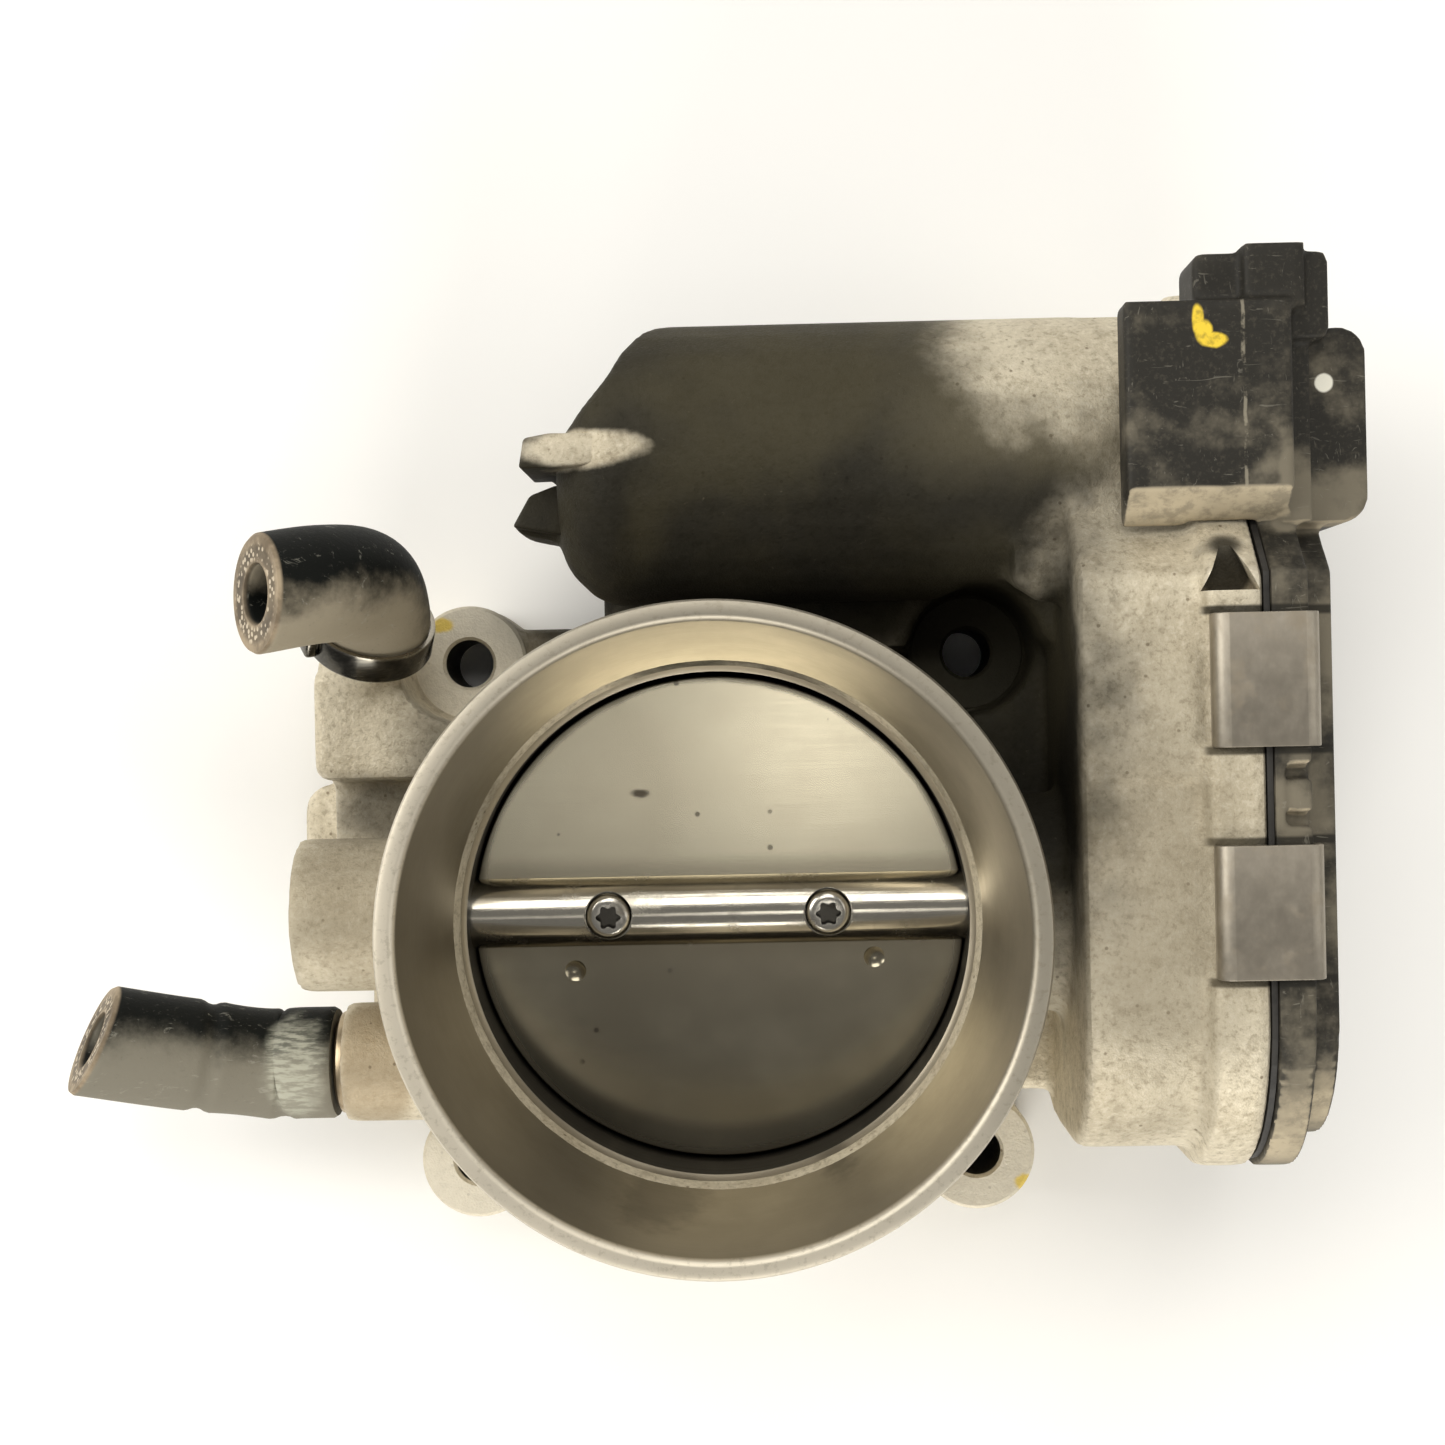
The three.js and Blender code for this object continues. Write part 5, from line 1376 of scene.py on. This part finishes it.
@dataclass
class Hose:
    """A cut-off stub of coolant hose, swept along its route."""

    name: str
    node: str
    route: Sequence[Point]
    cut: Point
    finish: Rubber
    bore: float = 3.8
    ease: float = 0.35
    sides: int = 64
    steps: int = 60
    grooves: Sequence[tuple[float, float, float]] = ()

    def curve(self) -> list[Vector]:
        """Evenly spaced points on one smooth curve through the route.

        Returns:
            One more point than there are steps.
        """
        points = [Vector(p) for p in self.route]
        ends = [points[0] * 2 - points[1], *points, points[-1] * 2 - points[-2]]
        dense = []
        for i in range(1, len(ends) - 2):
            a, b, c, d = ends[i - 1:i + 3]
            for k in range(40):
                t = k / 40
                dense.append(0.5 * (2 * b + (c - a) * t + (2 * a - 5 * b + 4 * c - d) * t * t
                                    + (3 * b - a - 3 * c + d) * t ** 3))
        dense.append(points[-1])
        lengths = [0.0]
        for p, q in zip(dense, dense[1:]):
            lengths.append(lengths[-1] + (q - p).length)
        even = []
        for i in range(self.steps + 1):
            want = lengths[-1] * i / self.steps
            k = max(j for j, length in enumerate(lengths) if length <= want + 1e-9)
            k = min(k, len(dense) - 2)
            span = lengths[k + 1] - lengths[k]
            even.append(dense[k].lerp(dense[k + 1], (want - lengths[k]) / span))
        return even

    def frames(self) -> list[Matrix]:
        """A frame at each point, whose last ones lean over into the plane of the cut.

        Returns:
            A matrix at each point, with Z along the hose.
        """
        line = self.curve()
        normal = Vector(self.cut).normalized()
        side = Vector((0, 0, 1))
        made = []
        for i, point in enumerate(line):
            ahead = (line[min(i + 1, self.steps)] - line[max(i - 1, 0)]).normalized()
            side = (side - ahead * side.dot(ahead)).normalized()
            across = ahead.cross(side)
            share = max(0.0, (i - 0.72 * self.steps) / (0.28 * self.steps))
            lean = [v - ahead * (v.dot(normal) / ahead.dot(normal)) * share for v in (side, across)]
            made.append(Matrix((
                (lean[0].x, lean[1].x, ahead.x, point.x), (lean[0].y, lean[1].y, ahead.y, point.y),
                (lean[0].z, lean[1].z, ahead.z, point.z), (0, 0, 0, 1))))
        return made

    def size_at(self, share: float) -> float:
        """Outer radius at a share of the length, with the grooves that a clamp left.

        Args:
            share: how far along the hose, from 0 to 1.

        Returns:
            The radius in millimetres.
        """
        size = HOSE_RADIUS
        for middle, width, depth in self.grooves:
            gap = abs(share - middle) / width
            size -= depth * max(0.0, 1 - gap * gap) if gap < 1 else 0.0
        return size

    def body(self) -> bpy.types.Object:
        """The hose: its outside, its cut face and its bore in one closed skin.

        Returns:
            The hose.
        """
        frames = self.frames()
        last = len(frames) - 1
        rings = []
        for i, matrix in enumerate(frames):
            rings.append((matrix, self.size_at(i / last) - (self.ease if i in (0, last) else 0)))
        rings.append((frames[last], self.bore + self.ease))
        rings += [(matrix, self.bore) for matrix in reversed(frames[:last])]
        bm = bmesh.new()
        verts = bmesh.ops.create_circle(bm, segments=self.sides, radius=1)["verts"]
        loop = list({e for v in verts for e in v.link_edges})
        now = rings[0][0] @ Matrix.Diagonal((rings[0][1], rings[0][1], 1, 1))
        bmesh.ops.transform(bm, matrix=now, verts=verts)
        first = loop
        for matrix, size in rings[1:]:
            following = matrix @ Matrix.Diagonal((size, size, 1, 1))
            made = bmesh.ops.extrude_edge_only(bm, edges=loop)
            verts = [v for v in made["geom"] if isinstance(v, bmesh.types.BMVert)]
            loop = [e for e in made["geom"] if isinstance(e, bmesh.types.BMEdge)
                    and all(v in verts for v in e.verts)]
            bmesh.ops.transform(bm, matrix=following @ now.inverted(), verts=verts)
            now = following
        bmesh.ops.bridge_loops(bm, edges=first + loop)
        return new_object(self.name, bm, 50)

    def build(self) -> None:
        """Makes the hose."""
        fitted(self.body(), Body.HOUSING, self.finish, [self.node])


UPPER_ROUTE = ((-49.4, 39.2, 27.6), (-48.7, 41.3, 29.4), (-48.0, 43.4, 31.2), (-48.6, 46.9, 37.0),
               (-53.0, 46.9, 44.6), (-60.3, 45.4, 50.9))
LOWER_ROUTE = ((-56.0, -21.0, 21.5), (-61.0, -21.0, 21.5), (-66.0, -21.0, 21.5), (-78.0, -18.7, 25.8),
               (-89.3, -16.0, 30.6))
UPPER_CUT = (-0.82, 0.02, 0.57)
LOWER_CUT = (-0.83, 0.42, 0.37)


@dataclass
class Coolant:
    """The two hose stubs, the band at the upper one and the ports."""

    band_gap: float = 0.3
    band_thick: float = 0.7

    def band(self) -> bpy.types.Object:
        """Crimped band round the upper hose's foot, with its raised ear.

        Returns:
            The band and its ear in one mesh.
        """
        start = Vector(UPPER_ROUTE[0])
        ahead = (Vector(UPPER_ROUTE[2]) - start).normalized()
        turn = Vector((0, 0, 1)).rotation_difference(ahead).to_matrix().to_4x4()
        inner = HOSE_RADIUS + self.band_gap
        outer = inner + self.band_thick
        ring = turned([(inner, 0.6), (outer - 0.1, 0.6), (outer, 0.9), (outer, 4.4), (outer - 0.1, 4.8),
                       (inner, 4.8)], steps=96)
        ear = block((inner + 0.2, -2.7, 1.2), (outer + 1.5, 2.7, 4.2), 0.6, 3)
        round_by = Matrix.Rotation(math.radians(200), 3, "Z")
        bmesh.ops.rotate(ear, cent=(0, 0, 0), matrix=round_by, verts=ear.verts)
        band = merged(ring, ear)
        bmesh.ops.transform(band, matrix=Matrix.Translation(start) @ turn, verts=band.verts)
        return new_object("hose_band", band)

    def port_collar(self) -> bpy.types.Object:
        """Tan fitting face that the lower hose butts against.

        Returns:
            The collar.
        """
        x = corner("coolant_hose_lower")[1].x + 0.45
        profile = [(3.4, x), (6.6, x), (7.2, x + 0.4), (7.4, x + 0.9), (7.4, x + 5), (3.4, x + 5)]
        return new_object("port_collar", turned(profile, Axis.X, (0, -21, 21.5), 56))

    def build(self) -> None:
        """Makes both hoses and what holds them."""
        upper = Rubber("upper_hose_rubber", end=UPPER_ROUTE[-1], out=UPPER_CUT, dust_side=(0.1, -1, -0.1),
                       dust_level=0.05)
        lower = Rubber("lower_hose_rubber", end=LOWER_ROUTE[-1], out=LOWER_CUT,
                       dust_side=(0.25, -0.9, 0.35), dust_level=0.0, tan=(0.21, 0.195, 0.155),
                       worn=(-61, -21, 28))
        Hose("upper_hose", "coolant_hose_upper", UPPER_ROUTE, UPPER_CUT, upper).build()
        Hose("lower_hose", "coolant_hose_lower", LOWER_ROUTE, LOWER_CUT, lower,
             grooves=((0.22, 0.035, 0.5), (0.55, 0.04, 0.55), (0.385, 0.13, 0.22))).build()
        fitted(self.band(), Body.HOUSING, BAND, ["hose_clamp"])
        fitted(self.port_collar(), Body.HOUSING, TAN_PORT)


# ------------------------------------------------------------------ inside


@dataclass
class Inside:
    """CAD pieces that keep their shape and get their finishes, and the wound return spring."""

    wire: float = 0.9
    coil: float = 13.2

    def dress(self) -> None:
        """Gives each carried-over CAD node the finish of the first entry that its name starts with."""
        starts: dict[str, Finish] = {
            "cover_gasket": SEAL, "left_shaft_seal": SEAL, "right_shaft_seal": SEAL,
            "left_needle_bearing": BEARING, "left_boss_plug": BEARING, "right_bearing_cage": BRASS,
            "right_bearing": BEARING, "sector_gear": GEAR, "idler_gear": GEAR, "idler_pin": BEARING,
            "sensor_magnet": MAGNET, "sensor_board": BOARD, "motor_can": BEARING,
            "motor_magnet": MAGNET, "motor_armature": COPPER, "motor_end_plate": BRUSH,
            "motor_screw": BEARING, "motor_wave_washer": SPRING, "motor_pinion": BRASS,
            "coolant_nipple_upper": BEARING, "coolant_nipple_lower": BRASS, "connector_pin": BRASS,
        }
        for node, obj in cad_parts.items():
            start = next((key for key in starts if node.startswith(key)), None)
            if start is None:
                continue
            for place in obj.material_slots:
                place.material = starts[start].material()

    def spring(self) -> bpy.types.Object:
        """The return spring as fine round wire, which twists between the case and the sector.

        Returns:
            The spring's wire.
        """
        low, high = corner("return_spring")
        turns, sides, per_turn = 2.5, 10, 48
        bm = bmesh.new()
        made = bmesh.ops.create_circle(bm, segments=sides, radius=self.wire, cap_ends=True)
        start = low.x + self.wire + 1.0
        rise = (high.x - self.wire - start) / (turns * per_turn)
        bmesh.ops.translate(bm, vec=(start, SHAFT_Y - self.coil, SHAFT_Z), verts=made["verts"])
        bmesh.ops.spin(bm, geom=bm.faces[:], cent=(start, SHAFT_Y, SHAFT_Z), axis=(1, 0, 0),
                       dvec=(rise, 0, 0), angle=turns * 2 * math.pi, steps=int(turns * per_turn),
                       use_duplicate=False)
        return new_object("return_spring_wire", bm, 50)

    def build(self) -> None:
        """Dresses the inner pieces and makes the spring."""
        self.dress()
        spring = self.spring()
        spring.data.materials.append(SPRING.material())
        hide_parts("return_spring")
        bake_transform(spring)


# ------------------------------------------------------------------ studio


LAMPS = (
    ("key", (0.04, -0.259, 1.03), (0.40, 0.105), 0.095),
    ("streak", (0.03, -0.24, 1.03), (0.03, 0.16), 0.08),
    ("right", (0.80, 0.05, 0.65), (0.7, 0.7), 2.4),
    ("left", (-0.75, 0.25, 0.60), (0.6, 0.6), 6.2),
    ("front", (0.0, -0.95, 0.50), (0.8, 0.5), 9.0),
    ("back", (0.1, 0.95, 0.70), (0.8, 0.5), 3.5),
    ("top", (-0.05, 0.45, 0.95), (0.6, 0.35), 2.6),
)    # name, place, size in metres, power in watts


@dataclass
class Studio:
    """Pale floor, soft lights and the camera."""

    lens: float = 59.14
    eye: Point = (8.56, 26.89, 364.5)
    yaw: float = 1.315
    roll: float = -1.2
    floor_size: float = 3.0
    aim: Point = (0.0, 0.01, 0.03)
    warm: Colour = (1.0, 0.97, 0.91)

    def camera(self) -> None:
        """Looks almost straight down the bore."""
        data = bpy.data.cameras.new("camera")
        data.lens = self.lens
        data.sensor_width = 36
        data.clip_start = 0.01
        camera = bpy.data.objects.new("camera", data)
        camera.location = Vector(self.eye) * MM
        camera.rotation_euler = (0, math.radians(self.yaw), math.radians(self.roll))
        bpy.context.scene.collection.objects.link(camera)
        bpy.context.scene.camera = camera

    def light(self, name: str, place: Point, size: tuple[float, float], power: float) -> None:
        """Hangs one soft, warm light that points at the bore.

        Args:
            name: the light's name.
            place: where it hangs, in metres.
            size: its width and height in metres.
            power: its power in watts.
        """
        data = bpy.data.lights.new(name, "AREA")
        data.shape = "RECTANGLE"
        data.size, data.size_y = size
        data.energy = power
        data.color = self.warm
        lamp = bpy.data.objects.new(name, data)
        lamp.location = place
        toward = Vector(self.aim) - Vector(place)
        lamp.rotation_euler = toward.to_track_quat("-Z", "Y").to_euler()
        bpy.context.scene.collection.objects.link(lamp)

    def floor(self) -> None:
        """A plain pale floor under the flange."""
        bm = bmesh.new()
        bmesh.ops.create_grid(bm, x_segments=1, y_segments=1, size=self.floor_size)
        bmesh.ops.translate(bm, vec=(0, 0, -0.0002), verts=bm.verts)
        mesh = bpy.data.meshes.new("floor")
        bm.to_mesh(mesh)
        bm.free()
        floor = bpy.data.objects.new("floor", mesh)
        bpy.context.scene.collection.objects.link(floor)
        tree = Tree("floor_paper")
        mesh.materials.append(tree.surface((0.93, 0.93, 0.92), 0.9))

    def world(self) -> None:
        """An even pale surround."""
        world = bpy.data.worlds.new("surround")
        world.use_nodes = True
        back = world.node_tree.nodes["Background"]
        back.inputs["Color"].default_value = (1.0, 0.98, 0.95, 1)
        back.inputs["Strength"].default_value = 0.20
        bpy.context.scene.world = world

    def build(self) -> None:
        """Sets the stage."""
        self.camera()
        self.floor()
        self.world()
        for lamp in LAMPS:
            self.light(*lamp)
        bpy.context.scene.view_settings.view_transform = "Standard"


# ------------------------------------------------------------------ main


def main() -> None:
    """Builds every sub-assembly in order and logs each one as it is built."""
    logging.basicConfig(level=logging.INFO, format="%(name)s: %(message)s")
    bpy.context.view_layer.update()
    assemblies = (Studio(), Housing(), Cover(), Butterfly(), Coolant(), Inside())
    for assembly in assemblies:
        assembly.build()
        log.info("%s is built", type(assembly).__name__)


if __name__ == "__main__":
    main()
